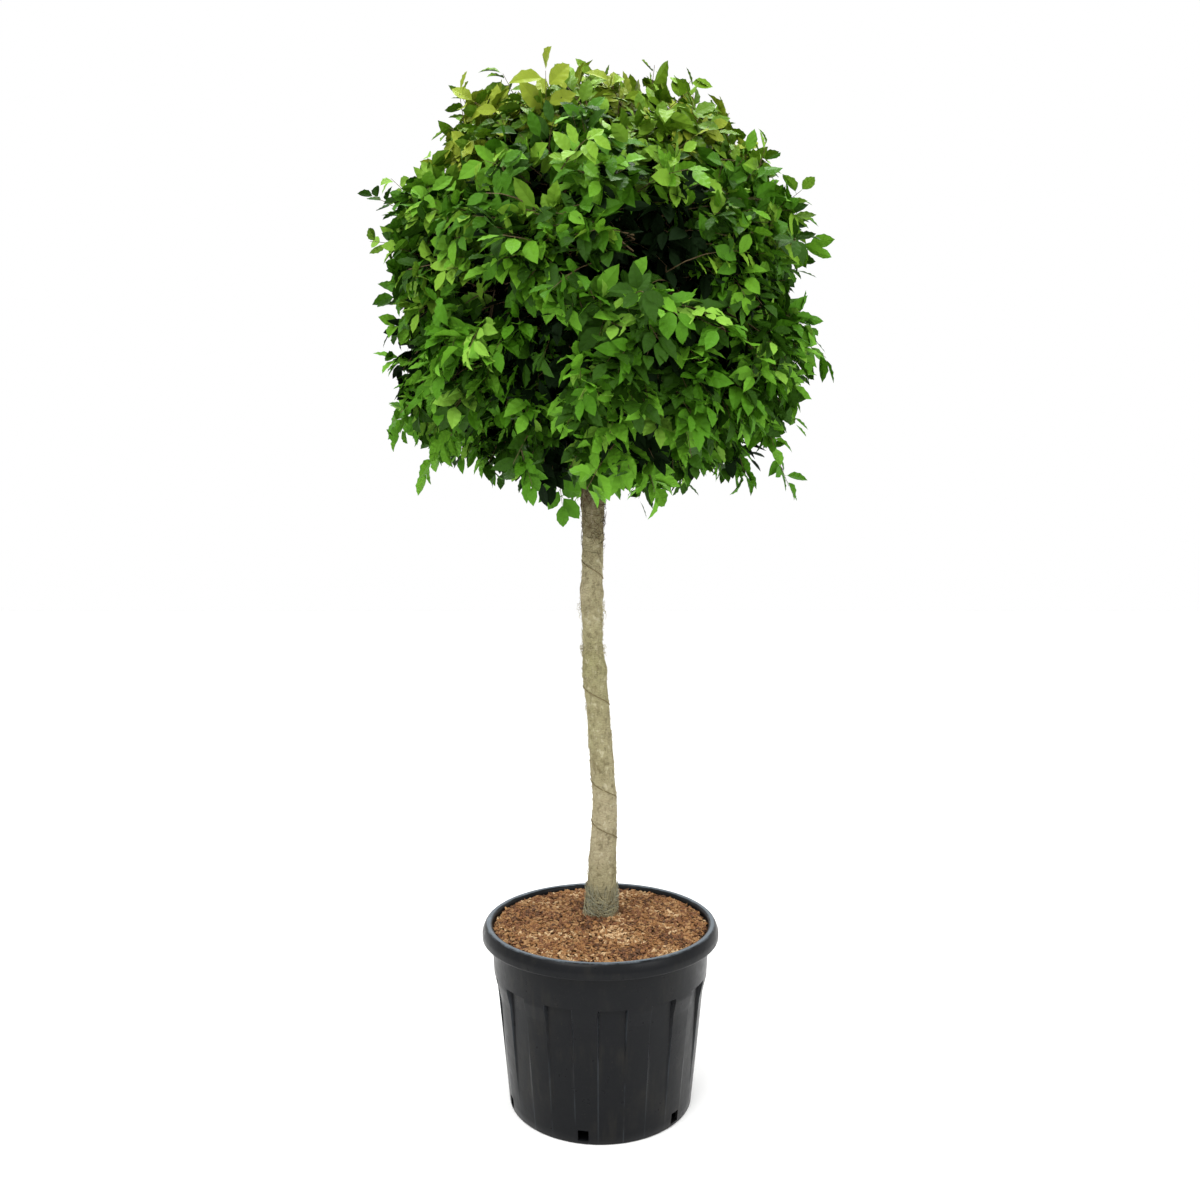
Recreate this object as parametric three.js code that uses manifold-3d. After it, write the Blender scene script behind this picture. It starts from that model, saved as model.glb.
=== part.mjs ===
// Standard lollipop topiary: a clipped hornbeam ball on a clear, wrapped stem, in a ribbed nursery pot.
// Millimetres, +Z up. The origin is the centre of the pot's flat underside, and the front faces -Y.

import * as THREE from "three";
import { mergeVertices } from "three/addons/utils/BufferGeometryUtils.js";
import Module from "manifold-3d";

const wasm = await Module();
wasm.setup();

// ---------------------------------------------------------------- driving dimensions

const GAP = 0.4; // air left between neighbouring solids
const HALVINGS = 40; // steps of a search by halving

const POT = {
  height: 389,
  floor: 6, // thickness of the floor
  footRadius: 198.5,
  footChamfer: 3,
  ribTop: { radius: 222.8, height: 235 }, // where the ribs' straight taper ends
  shoulder: { radius: 224, height: 248 }, // lower edge of the soft step up to the collar
  collar: { radius: 231.8, height: 278 }, // upper edge of that step
  neckRadius: 236.6, // collar just under the lip
  lip: {
    radius: 257.5,
    underside: 358,
    undercut: 2, // how much higher the underside meets the neck
    face: 12, // height of the upright outer face
    outerRound: { in: 5, down: 6 },
    crown: 246,
    innerRound: { out: 3, down: 3 },
    inner: 234.5,
    innerDrop: 11, // from the crown down to where the mouth turns straight
  },
  innerLedge: { in: 2, up: 12 }, // inside of the collar, over the panels
  wall: 4,
  sides: 39, // three facets to each panel
};

const PANEL = {
  count: 13, // recessed panels round the wall
  width: 56,
  firstAngle: 6, // degrees to the right of straight ahead
  top: { radius: 215.5, height: 286 }, // the recess floor under its square upper edge
  foot: { radius: 201.9, height: 35 }, // where the recess runs out into the wall
};

const DRAIN = { count: 6, size: 22, sill: 8, firstAngle: -10, reach: 40 };

// The bed of mulch: its height at the pot's wall, halfway in and on the mound round the stem.
const MEDIUM = { edgeHeight: 377, halfwayHeight: 388, moundHeight: 398, moundRadius: 60, inset: 1 };

// Stations up the stem: height, shift to the right, shift to the back, radius over the wrap.
const STATIONS = [
  [398, 1, 14, 37],
  [440, 3, 14, 35.5],
  [510, 4.4, 13, 33.4],
  [572, 7.5, 12, 31],
  [640, 9, 10, 28.6],
  [715, 4, 7, 28.2],
  [790, -1.6, 5, 28],
  [860, -6.5, 3, 27.2],
  [925, -13.5, 2, 28.2],
  [975, -16.6, 2, 24.9],
  [1070, -18, 3, 25],
  [1106, -20, 4, 28.4],
  [1145, -17.6, 4, 24.4],
  [1215, -16.6, 5, 25],
  [1285, -16, 4, 27.6],
  [1350, -14, 3, 27],
];
const STEM = {
  foot: MEDIUM.moundHeight + GAP,
  wrapTop: 1350,
  tip: 1926,
  wrapThickness: 3,
  radiusAboveWrap: 22.5,
  tipRadius: 6,
  taper: 0.9, // below 1 the bare stem thins early
  sides: 12,
  wrappedRings: 18,
  bareRings: 7,
};
const TIE = { height: 7, thickness: 3, belowTop: 14 };

// The clipped ball: a cushion a little squarer below than above.
const CROWN = {
  centre: 1735,
  across: 467,
  up: 452,
  down: 458,
  squareAbove: 2.05,
  squareBelow: 2.6,
};

// Rings of foliage masses: how many, where their middles lie, and how far each one swells or
// falls short of the ball, going round anticlockwise from the first mass's bearing.
const RINGS = [
  {
    name: "lower",
    height: 1500,
    radius: 290,
    bearing: -18,
    detail: 3,
    swell: [0.005, 0.02, -0.02, 0.035, -0.045, 0.01],
    bough: { from: 1395, radius: 10 },
  },
  {
    name: "middle",
    height: 1795,
    radius: 305,
    bearing: 12,
    detail: 3,
    swell: [-0.045, 0.02, 0.0, 0.0, 0.0, -0.02],
    bough: { from: 1530, radius: 9 },
  },
  {
    name: "upper",
    height: 2015,
    radius: 205,
    bearing: -40,
    detail: 2,
    swell: [-0.035, 0.0, 0.05, 0.03],
    bough: { from: 1730, radius: 7 },
  },
  {
    name: "crest",
    height: 2075,
    radius: 0,
    bearing: 0,
    detail: 2,
    swell: [0.01],
    bough: null,
  },
];

// Shoots that stand out of the ball: bearing and elevation in degrees, reach past the ball, spread.
const SHOOTS = [
  { bearing: 189, elevation: 17, reach: 36, spread: 11 },
  { bearing: 196, elevation: -27, reach: 24, spread: 14 },
  { bearing: -9, elevation: -6, reach: 42, spread: 10 },
  { bearing: -12, elevation: 17, reach: 30, spread: 11 },
  { bearing: -16, elevation: -33, reach: 18, spread: 14 },
  { bearing: 205, elevation: 55, reach: 18, spread: 12 },
  { bearing: -60, elevation: 68, reach: 16, spread: 12 },
  { bearing: 250, elevation: -62, reach: 20, spread: 12 },
  { bearing: -66, elevation: -60, reach: 24, spread: 14 },
  { bearing: 90, elevation: 5, reach: 26, spread: 12 },
  { bearing: 268, elevation: 8, reach: 16, spread: 13 },
];

const MASS = {
  gap: 11, // air between neighbouring masses
  stemClearance: 62, // open core round the stem
  rounding: 10, // higher is squarer at the edges
  unevenness: 0.045,
  ripple: { x: 5, y: 4, z: 9, zShare: 0.4 }, // waves of unevenness over a mass
  seed: 7,
  jitter: 16, // how far a mass's middle strays from its even place
};
const BOUGH = {
  sides: 6,
  rings: 3,
  tipShare: 0.5,
  bow: 0.09, // sag of the middle, as a share of the level run
  intoMass: 24,
  levels: 3, // neighbouring boughs leave the stem at this many heights
  stagger: 18,
};

// ---------------------------------------------------------------- finishes

const material = (color, roughness) =>
  new THREE.MeshStandardMaterial({ color, roughness, metalness: 0 });

const FINISH = {
  pot: material(0x23272b, 0.42),
  medium: material(0x7a5130, 0.95),
  bark: material(0x57493b, 0.9),
  wrap: material(0xa89b78, 0.95),
  tie: material(0x2b241d, 0.9),
  lower: material(0x2f6a1f, 0.6),
  middle: material(0x468a1f, 0.55),
  upper: material(0x6fa52c, 0.55),
  crest: material(0x86b53a, 0.55),
};

// ---------------------------------------------------------------- helpers

const radians = THREE.MathUtils.degToRad;
const lerp = THREE.MathUtils.lerp;

/** A repeatable stream of numbers from 0 to 1. */
function stream(seed) {
  let state = seed >>> 0;
  return () => {
    state = (state + 0x6d2b79f5) >>> 0;
    let mixed = Math.imul(state ^ (state >>> 15), 1 | state);
    mixed = (mixed + Math.imul(mixed ^ (mixed >>> 7), 61 | mixed)) ^ mixed;
    return ((mixed ^ (mixed >>> 14)) >>> 0) / 4294967296;
  };
}

/** Leaves only positions on a geometry and joins its shared vertices. */
function merged(geometry) {
  geometry.deleteAttribute("normal");
  geometry.deleteAttribute("uv");
  return mergeVertices(geometry, 1e-3);
}

/** A closed geometry as a solid that can be cut. */
function solid(geometry) {
  const whole = merged(geometry);
  const index = Array.from(whole.index.array);
  const triangles = [];
  for (let i = 0; i < index.length; i += 3) {
    const [a, b, c] = index.slice(i, i + 3);
    if (a !== b && b !== c && c !== a) triangles.push(a, b, c);
  }
  return new wasm.Manifold(
    new wasm.Mesh({
      numProp: 3,
      vertProperties: new Float32Array(whole.attributes.position.array),
      triVerts: new Uint32Array(triangles),
    }),
  );
}

/** A cut solid as a geometry again. */
function geometryOf(body) {
  const mesh = body.getMesh();
  const geometry = new THREE.BufferGeometry();
  geometry.setAttribute("position", new THREE.BufferAttribute(mesh.vertProperties, 3));
  geometry.setIndex(new THREE.BufferAttribute(mesh.triVerts, 1));
  geometry.computeVertexNormals();
  return geometry;
}

/** A solid of revolution about Z from [radius, height] pairs. */
function turned(profile, sides) {
  const points = profile.map(([radius, height]) => new THREE.Vector2(radius, height));
  return new THREE.LatheGeometry(points, sides).rotateX(Math.PI / 2);
}

/** Moves every vertex of a geometry to where place() puts it. */
function reshape(geometry, place) {
  const position = geometry.attributes.position;
  const point = new THREE.Vector3();
  for (let i = 0; i < position.count; i += 1) {
    place(point.fromBufferAttribute(position, i));
    position.setXYZ(i, point.x, point.y, point.z);
  }
  return geometry;
}

const topiary = new THREE.Group();

function add(name, geometry, finish) {
  const mesh = new THREE.Mesh(geometry, finish);
  mesh.name = name;
  topiary.add(mesh);
}

// ---------------------------------------------------------------- pot

function potBlank() {
  const { lip, collar, shoulder, ribTop } = POT;
  const recess = PANEL.top;
  return turned(
    [
      [0, 0],
      [POT.footRadius - POT.footChamfer, 0],
      [POT.footRadius, POT.footChamfer],
      [ribTop.radius, ribTop.height],
      [shoulder.radius, shoulder.height],
      [collar.radius, collar.height],
      [POT.neckRadius, lip.underside + lip.undercut],
      [lip.radius, lip.underside],
      [lip.radius, lip.underside + lip.face],
      [lip.radius - lip.outerRound.in, POT.height - lip.outerRound.down],
      [lip.crown, POT.height],
      [lip.inner + lip.innerRound.out, POT.height - lip.innerRound.down],
      [lip.inner, POT.height - lip.innerDrop],
      [collar.radius - POT.innerLedge.in, recess.height + POT.innerLedge.up],
      [recess.radius - POT.wall, recess.height],
      [PANEL.foot.radius - POT.wall, PANEL.foot.height],
      [POT.footRadius - POT.wall, POT.floor],
      [0, POT.floor],
    ],
    POT.sides,
  );
}

/** The wedge cut out of the wall for one panel: square above, running out to nothing below. */
function panelCutter(angle) {
  const outline = new THREE.Shape();
  const outside = POT.lip.radius;
  outline.moveTo(PANEL.foot.radius, PANEL.foot.height);
  outline.lineTo(outside, PANEL.foot.height);
  outline.lineTo(outside, PANEL.top.height);
  outline.lineTo(PANEL.top.radius, PANEL.top.height);
  outline.closePath();
  return new THREE.ExtrudeGeometry(outline, { depth: PANEL.width, bevelEnabled: false })
    .translate(0, 0, -PANEL.width / 2)
    .rotateX(Math.PI / 2)
    .rotateZ(radians(angle - 90));
}

function drainCutter(angle) {
  const { size, sill } = DRAIN;
  return new THREE.BoxGeometry(DRAIN.reach, size, size)
    .translate(POT.footRadius, 0, sill + size / 2)
    .rotateZ(radians(angle - 90));
}

function pot() {
  let body = solid(potBlank());
  for (let i = 0; i < PANEL.count; i += 1) {
    body = body.subtract(solid(panelCutter(PANEL.firstAngle + (i * 360) / PANEL.count)));
  }
  for (let i = 0; i < DRAIN.count; i += 1) {
    body = body.subtract(solid(drainCutter(DRAIN.firstAngle + (i * 360) / DRAIN.count)));
  }
  return geometryOf(body);
}

function growingMedium() {
  const inset = (radius) => radius - GAP;
  const ledge = POT.innerLedge;
  return turned(
    [
      [0, POT.floor + GAP],
      [inset(POT.footRadius - POT.wall), POT.floor + GAP],
      [inset(PANEL.foot.radius - POT.wall), PANEL.foot.height],
      [inset(PANEL.top.radius - POT.wall), PANEL.top.height],
      [inset(POT.collar.radius - ledge.in), PANEL.top.height + ledge.up + GAP],
      [inset(POT.lip.inner - MEDIUM.inset), MEDIUM.edgeHeight],
      [lerp(POT.lip.inner, MEDIUM.moundRadius, 0.5), MEDIUM.halfwayHeight],
      [MEDIUM.moundRadius, MEDIUM.moundHeight],
      [0, MEDIUM.moundHeight],
    ],
    POT.sides,
  );
}

// ---------------------------------------------------------------- stem

const stations = new THREE.CatmullRomCurve3(
  STATIONS.map(([height, right, back]) => new THREE.Vector3(right, back, height)),
);

/** The share of the way along the stations at a height, found by halving. */
function shareAt(height) {
  let low = 0;
  let high = 1;
  for (let i = 0; i < HALVINGS; i += 1) {
    const middle = (low + high) / 2;
    if (stations.getPoint(middle).z < height) low = middle;
    else high = middle;
  }
  return (low + high) / 2;
}

/** The stem's middle at a height: along the stations, then easing back over the pot in the crown. */
function stemCentre(height) {
  if (height <= STEM.wrapTop) {
    const point = stations.getPoint(shareAt(height));
    return new THREE.Vector2(point.x, point.y);
  }
  const [, right, back] = STATIONS.at(-1);
  const share = (height - STEM.wrapTop) / (STEM.tip - STEM.wrapTop);
  return new THREE.Vector2(right, back).multiplyScalar(1 - share);
}

function wrapRadius(height) {
  const place = shareAt(height) * (STATIONS.length - 1);
  const below = Math.min(Math.floor(place), STATIONS.length - 2);
  const smooth = THREE.MathUtils.smoothstep(place - below, 0, 1);
  return lerp(STATIONS[below][3], STATIONS[below + 1][3], smooth);
}

function stemRadius(height) {
  if (height <= STEM.wrapTop) return wrapRadius(height) - STEM.wrapThickness - GAP;
  const share = (height - STEM.wrapTop) / (STEM.tip - STEM.wrapTop);
  return lerp(STEM.radiusAboveWrap, STEM.tipRadius, share ** STEM.taper);
}

const wrappedHeights = Array.from({ length: STEM.wrappedRings + 1 }, (_, i) =>
  lerp(STEM.foot, STEM.wrapTop, i / STEM.wrappedRings),
);
const bareHeights = Array.from({ length: STEM.bareRings }, (_, i) =>
  lerp(STEM.wrapTop, STEM.tip, (i + 1) / STEM.bareRings),
);

/** Shifts a straight solid of revolution so that it follows the stem's line. */
function followStem(geometry) {
  return reshape(geometry, (point) => {
    const centre = stemCentre(point.z);
    point.x += centre.x;
    point.y += centre.y;
  });
}

function trunk(extra = 0) {
  const heights = [...wrappedHeights, ...bareHeights];
  const wall = heights.map((height) => [stemRadius(height) + extra, height]);
  return followStem(turned([[0, STEM.foot], ...wall, [0, STEM.tip]], STEM.sides));
}

function stemWrap() {
  const outer = wrappedHeights.map((height) => [wrapRadius(height), height]);
  const inner = wrappedHeights.map((height) => [stemRadius(height) + GAP, height]).reverse();
  return followStem(turned([...outer, ...inner, outer[0]], STEM.sides));
}

function wrapTie() {
  const middle = STEM.wrapTop - TIE.belowTop;
  const inner = wrapRadius(middle) + 2 * GAP;
  const outer = inner + TIE.thickness;
  const half = TIE.height / 2;
  return followStem(
    turned(
      [
        [inner, middle - half],
        [outer, middle - half],
        [outer, middle + half],
        [inner, middle + half],
        [inner, middle - half],
      ],
      STEM.sides,
    ),
  );
}

// ---------------------------------------------------------------- crown

/** A unit direction from a bearing, anticlockwise from +X, and an elevation, both in degrees. */
function direction(bearing, elevation) {
  const flat = Math.cos(radians(elevation));
  return new THREE.Vector3(
    flat * Math.cos(radians(bearing)),
    flat * Math.sin(radians(bearing)),
    Math.sin(radians(elevation)),
  );
}

const crownCentre = new THREE.Vector3(0, 0, CROWN.centre);
const shoots = SHOOTS.map((shoot) => ({
  ...shoot,
  aim: direction(shoot.bearing, shoot.elevation),
}));

/** Distance from the crown's centre to its surface along a unit direction. */
function crownReach(aim) {
  const above = aim.z > 0;
  const power = above ? CROWN.squareAbove : CROWN.squareBelow;
  const flat = Math.hypot(aim.x, aim.y) / CROWN.across;
  const tall = Math.abs(aim.z) / (above ? CROWN.up : CROWN.down);
  const ball = (flat ** power + tall ** power) ** (-1 / power);
  const shootAt = (shoot) => {
    const off = THREE.MathUtils.radToDeg(Math.acos(Math.min(1, aim.dot(shoot.aim))));
    return shoot.reach * Math.exp(-((off / shoot.spread) ** 2));
  };
  return ball + Math.max(...shoots.map(shootAt));
}

/** Distance from a point inside the crown, along a unit direction, to the swollen surface. */
function toSurface(start, aim, swell) {
  let low = 0;
  let high = 2 * CROWN.across;
  for (let i = 0; i < HALVINGS; i += 1) {
    const middle = (low + high) / 2;
    const offset = start.clone().addScaledVector(aim, middle).sub(crownCentre);
    const depth = offset.length();
    if (depth < crownReach(offset.normalize()) * (1 + swell)) low = middle;
    else high = middle;
  }
  return low;
}

const draw = stream(MASS.seed);
const stray = () => (draw() - 0.5) * 2 * MASS.jitter;

const masses = RINGS.flatMap((ring) =>
  ring.swell.map((swell, i) => {
    const bearing = ring.bearing + (i * 360) / ring.swell.length;
    const middle = direction(bearing, 0).multiplyScalar(ring.radius);
    middle.add(new THREE.Vector3(stray(), stray(), ring.height + stray()));
    const name = ring.swell.length > 1 ? `${ring.name}_${i + 1}` : ring.name;
    return { name, ring, swell, middle, bearing };
  }),
);

/** The planes that hold a mass off its neighbours and off the stem, as [normal, distance]. */
function walls(mass) {
  const between = masses
    .filter((other) => other !== mass)
    .map((other) => {
      const span = other.middle.clone().sub(mass.middle);
      return [span.clone().normalize(), (span.length() - MASS.gap) / 2];
    });
  if (mass.ring.radius === 0) {
    between.push([new THREE.Vector3(0, 0, -1), mass.middle.z - STEM.tip - MASS.gap]);
  } else {
    const inward = new THREE.Vector3(-mass.middle.x, -mass.middle.y, 0);
    const distance = inward.length() - MASS.stemClearance;
    between.push([inward.normalize(), distance]);
  }
  return between;
}

/** One closed, uneven lobe of foliage, grown outwards from its middle until something stops it. */
function foliage(mass, extra = 0) {
  const held = walls(mass);
  const phase = masses.indexOf(mass);
  const waves = MASS.ripple;
  const ball = merged(new THREE.IcosahedronGeometry(1, mass.ring.detail));
  return reshape(ball, (point) => {
    const aim = point.clone().normalize();
    const limits = held
      .filter(([normal]) => aim.dot(normal) > 0)
      .map(([normal, distance]) => distance / aim.dot(normal));
    limits.push(toSurface(mass.middle, aim, mass.swell));
    const sum = limits.reduce((total, limit) => total + limit ** -MASS.rounding, 0);
    const ripple = Math.sin(waves.x * aim.x + phase) * Math.sin(waves.y * aim.y + 2 * phase);
    const uneven = MASS.unevenness * (ripple + waves.zShare * Math.sin(waves.z * aim.z + phase));
    const nearest = Math.min(...limits);
    const reach = Math.min(sum ** (-1 / MASS.rounding) * (1 + uneven), nearest) + extra;
    point.copy(mass.middle).addScaledVector(aim, reach);
  });
}

/** A limb from the stem's middle into its mass, tapering and bowed upwards, before it is cut. */
function boughBlank(mass) {
  const { from, radius } = mass.ring.bough;
  const lift = BOUGH.stagger * (masses.indexOf(mass) % BOUGH.levels);
  const foot = stemCentre(from + lift);
  const start = new THREE.Vector3(foot.x, foot.y, from + lift);
  const span = mass.middle.clone().sub(start);
  const end = start.clone().addScaledVector(span, 1 - BOUGH.intoMass / span.length());
  const bend = start.clone().lerp(end, 0.5);
  bend.z -= BOUGH.bow * Math.hypot(span.x, span.y);
  const line = new THREE.QuadraticBezierCurve3(start, bend, end);
  const limb = new THREE.CylinderGeometry(1, 1, 1, BOUGH.sides, BOUGH.rings);
  return reshape(limb, (point) => {
    const share = point.y + 0.5;
    const along = line.getTangent(share);
    const side = new THREE.Vector3(0, 0, 1).cross(along).normalize();
    const up = along.clone().cross(side);
    const thick = radius * lerp(1, BOUGH.tipShare, share);
    const centre = line.getPoint(share);
    const { x, z } = point;
    point.copy(centre).addScaledVector(side, z * thick).addScaledVector(up, x * thick);
  });
}

// ---------------------------------------------------------------- assembly

add("pot", pot(), FINISH.pot);
add("growing_medium", growingMedium(), FINISH.medium);
add("trunk", trunk(), FINISH.bark);
add("stem_wrap", stemWrap(), FINISH.wrap);
add("wrap_tie", wrapTie(), FINISH.tie);

const stemCutter = solid(trunk(GAP));
for (const mass of masses) {
  add(`foliage_${mass.name}`, foliage(mass), FINISH[mass.ring.name]);
  if (mass.ring.bough) {
    const limb = solid(boughBlank(mass)).subtract(stemCutter).subtract(solid(foliage(mass, GAP)));
    add(`bough_${mass.name}`, geometryOf(limb), FINISH.bark);
  }
}

export default topiary;
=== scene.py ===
"""Standard lollipop topiary in a black nursery pot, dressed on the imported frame.

The pot, its mulch, the wrapped stem, the bark of the trunk and boughs, the twigs and the clipped
ball of leaves are each a class that builds its own meshes in the frame's coordinates, in metres.
"""

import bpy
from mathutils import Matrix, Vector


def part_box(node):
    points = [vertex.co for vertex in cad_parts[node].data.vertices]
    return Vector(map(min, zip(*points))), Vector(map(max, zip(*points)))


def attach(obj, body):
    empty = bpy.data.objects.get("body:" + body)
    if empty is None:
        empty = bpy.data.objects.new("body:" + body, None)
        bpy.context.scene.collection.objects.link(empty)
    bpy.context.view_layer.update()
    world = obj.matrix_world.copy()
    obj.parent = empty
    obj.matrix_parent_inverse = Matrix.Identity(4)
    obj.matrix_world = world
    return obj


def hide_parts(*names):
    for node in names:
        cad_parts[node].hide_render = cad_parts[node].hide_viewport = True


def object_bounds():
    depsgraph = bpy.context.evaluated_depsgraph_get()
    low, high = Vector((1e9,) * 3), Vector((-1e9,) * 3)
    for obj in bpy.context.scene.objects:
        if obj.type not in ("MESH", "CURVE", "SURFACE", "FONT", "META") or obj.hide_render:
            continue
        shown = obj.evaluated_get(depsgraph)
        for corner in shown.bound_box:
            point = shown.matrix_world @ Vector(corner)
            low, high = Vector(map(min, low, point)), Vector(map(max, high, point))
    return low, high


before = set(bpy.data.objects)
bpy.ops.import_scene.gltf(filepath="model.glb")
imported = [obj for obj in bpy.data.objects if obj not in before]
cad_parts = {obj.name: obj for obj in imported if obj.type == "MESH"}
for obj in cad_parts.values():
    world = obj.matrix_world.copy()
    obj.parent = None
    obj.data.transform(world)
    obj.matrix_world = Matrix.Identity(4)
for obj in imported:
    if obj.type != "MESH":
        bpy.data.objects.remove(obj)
PACKED_BOX = [list(corner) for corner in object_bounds()]

import logging
import math
from collections.abc import Callable
from dataclasses import dataclass, field, replace
from enum import Enum

import bmesh
import bpy
import numpy as np
from mathutils import Matrix, Vector, noise
from mathutils.bvhtree import BVHTree

BODY = "root"
UP = np.array([0.0, 0.0, 1.0])
STEM_RADIUS = 0.028
LOG = logging.getLogger("topiary")
WHITE = (1.0, 1.0, 1.0, 1.0)


class Tier(Enum):
    """The layers of foliage masses, from the ground up."""

    LOWER = "lower"
    MIDDLE = "middle"
    UPPER = "upper"
    CREST = "crest"


# ---------------------------------------------------------------------------------------------
# Small shared tools
# ---------------------------------------------------------------------------------------------


def linear(code: str) -> tuple[float, float, float, float]:
    """Turn an sRGB colour code into linear light.

    Args:
        code: Six hexadecimal digits, without a leading sign.

    Returns:
        Red, green, blue and an alpha of one.
    """
    parts = [int(code[i : i + 2], 16) / 255 for i in (0, 2, 4)]
    red, green, blue = (p / 12.92 if p <= 0.04045 else ((p + 0.055) / 1.055) ** 2.4 for p in parts)
    return red, green, blue, 1.0


def unit(rows: np.ndarray) -> np.ndarray:
    """Scale vectors in the last axis to length one.

    Args:
        rows: Vectors of any leading shape.

    Returns:
        The same shape, each vector of unit length.
    """
    return rows / np.maximum(np.linalg.norm(rows, axis=-1, keepdims=True), 1e-9)


def link(mesh: bpy.types.Mesh, name: str, material: bpy.types.Material) -> bpy.types.Object:
    """Make an object of a mesh, give it its material and let it ride on the plant's body.

    Args:
        mesh: The finished mesh, in the frame's coordinates.
        name: The piece's name.
        material: Its finish.

    Returns:
        The new object.
    """
    piece = bpy.data.objects.new(name, mesh)
    bpy.context.scene.collection.objects.link(piece)
    mesh.materials.append(material)
    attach(piece, BODY)
    return piece


def mesh_from_arrays(
    name: str, points: np.ndarray, faces: np.ndarray, uv: np.ndarray | None = None, smooth: bool = True
) -> bpy.types.Mesh:
    """Join many copies of small shapes into one mesh, quickly.

    Args:
        name: The mesh's name.
        points: Corner positions, one row each.
        faces: Corner numbers of each face, one row each, all of one length.
        uv: Two coordinates per corner, if the finish needs them.
        smooth: Whether faces are shaded smoothly.

    Returns:
        The joined mesh.
    """
    mesh = bpy.data.meshes.new(name)
    count, corners = faces.shape
    mesh.vertices.add(len(points))
    mesh.vertices.foreach_set("co", points.astype(np.float32).ravel())
    mesh.loops.add(count * corners)
    mesh.loops.foreach_set("vertex_index", faces.astype(np.int32).ravel())
    mesh.polygons.add(count)
    mesh.polygons.foreach_set("loop_start", np.arange(0, count * corners, corners, dtype=np.int32))
    mesh.polygons.foreach_set("use_smooth", np.full(count, smooth, dtype=bool))
    if uv is not None:
        layer = mesh.uv_layers.new(name="blade")
        layer.data.foreach_set("uv", uv[faces.ravel()].astype(np.float32).ravel())
    mesh.update(calc_edges=True)
    mesh.validate()
    return mesh


def shape_arrays(bm: bmesh.types.BMesh) -> tuple[np.ndarray, np.ndarray]:
    """Read a small shape's corners and faces, and free it.

    Args:
        bm: The shape, whose faces all have one number of corners.

    Returns:
        Its corner positions and its face corner numbers.
    """
    bm.verts.ensure_lookup_table()
    bm.verts.index_update()
    points = np.array([v.co[:] for v in bm.verts])
    faces = np.array([[v.index for v in f.verts] for f in bm.faces])
    bm.free()
    return points, faces


def scatter(
    points: np.ndarray, faces: np.ndarray, turns: np.ndarray, places: np.ndarray, sizes: np.ndarray
) -> tuple[np.ndarray, np.ndarray]:
    """Copy a small shape to many places.

    Args:
        points: The shape's corners.
        faces: The shape's faces.
        turns: One 3 x 3 matrix per copy.
        places: One position per copy.
        sizes: One row of three scales per copy.

    Returns:
        The corners and faces of all copies together.
    """
    copies = np.einsum("nij,nvj->nvi", turns, points[None] * sizes[:, None, :]) + places[:, None, :]
    shift = np.arange(len(places))[:, None, None] * len(points)
    return copies.reshape(-1, 3), (faces[None] + shift).reshape(-1, faces.shape[1])


def tubes(paths: np.ndarray, radii: np.ndarray, sides: int) -> tuple[np.ndarray, np.ndarray]:
    """Loft round tubes along many paths of the same number of points.

    Args:
        paths: Positions, shaped tubes x points x 3.
        radii: Radii, shaped tubes x points.
        sides: Corners round each ring.

    Returns:
        The corners and the four-cornered faces of all the tubes, ends open.
    """
    along = unit(np.gradient(paths, axis=1))
    helper = np.where(np.abs(along[..., 2:3]) > 0.9, np.array([1.0, 0.0, 0.0]), UP)
    across = unit(np.cross(along, helper))
    other = np.cross(along, across)
    angle = np.arange(sides) * 2 * math.pi / sides
    ring = across[:, :, None] * np.cos(angle)[:, None] + other[:, :, None] * np.sin(angle)[:, None]
    points = paths[:, :, None] + ring * radii[:, :, None, None]
    count, steps = paths.shape[:2]
    i = np.arange(steps - 1)[:, None] * sides
    j = np.arange(sides)[None]
    k = (j + 1) % sides
    quad = np.stack([i + j, i + k, i + sides + k, i + sides + j], axis=-1).reshape(-1, 4)
    faces = quad[None] + (np.arange(count) * steps * sides)[:, None, None]
    return points.reshape(-1, 3), faces.reshape(-1, 4)


def bezier(start: np.ndarray, middle: np.ndarray, end: np.ndarray, steps: np.ndarray) -> np.ndarray:
    """Points along quadratic curves.

    Args:
        start: First points, one row per curve.
        middle: Pulling points.
        end: Last points.
        steps: Where along the curves, from nought to one.

    Returns:
        Positions shaped curves x steps x 3.
    """
    t = steps[None, :, None]
    return (1 - t) ** 2 * start[:, None] + 2 * t * (1 - t) * middle[:, None] + t**2 * end[:, None]


def node_corners(name: str) -> np.ndarray:
    """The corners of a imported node, doubles removed.

    Args:
        name: The node's name.

    Returns:
        One row per corner, in metres.
    """
    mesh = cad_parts[name].data
    rows = np.zeros(len(mesh.vertices) * 3)
    mesh.vertices.foreach_get("co", rows)
    return np.unique(rows.reshape(-1, 3).round(5), axis=0)


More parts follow.
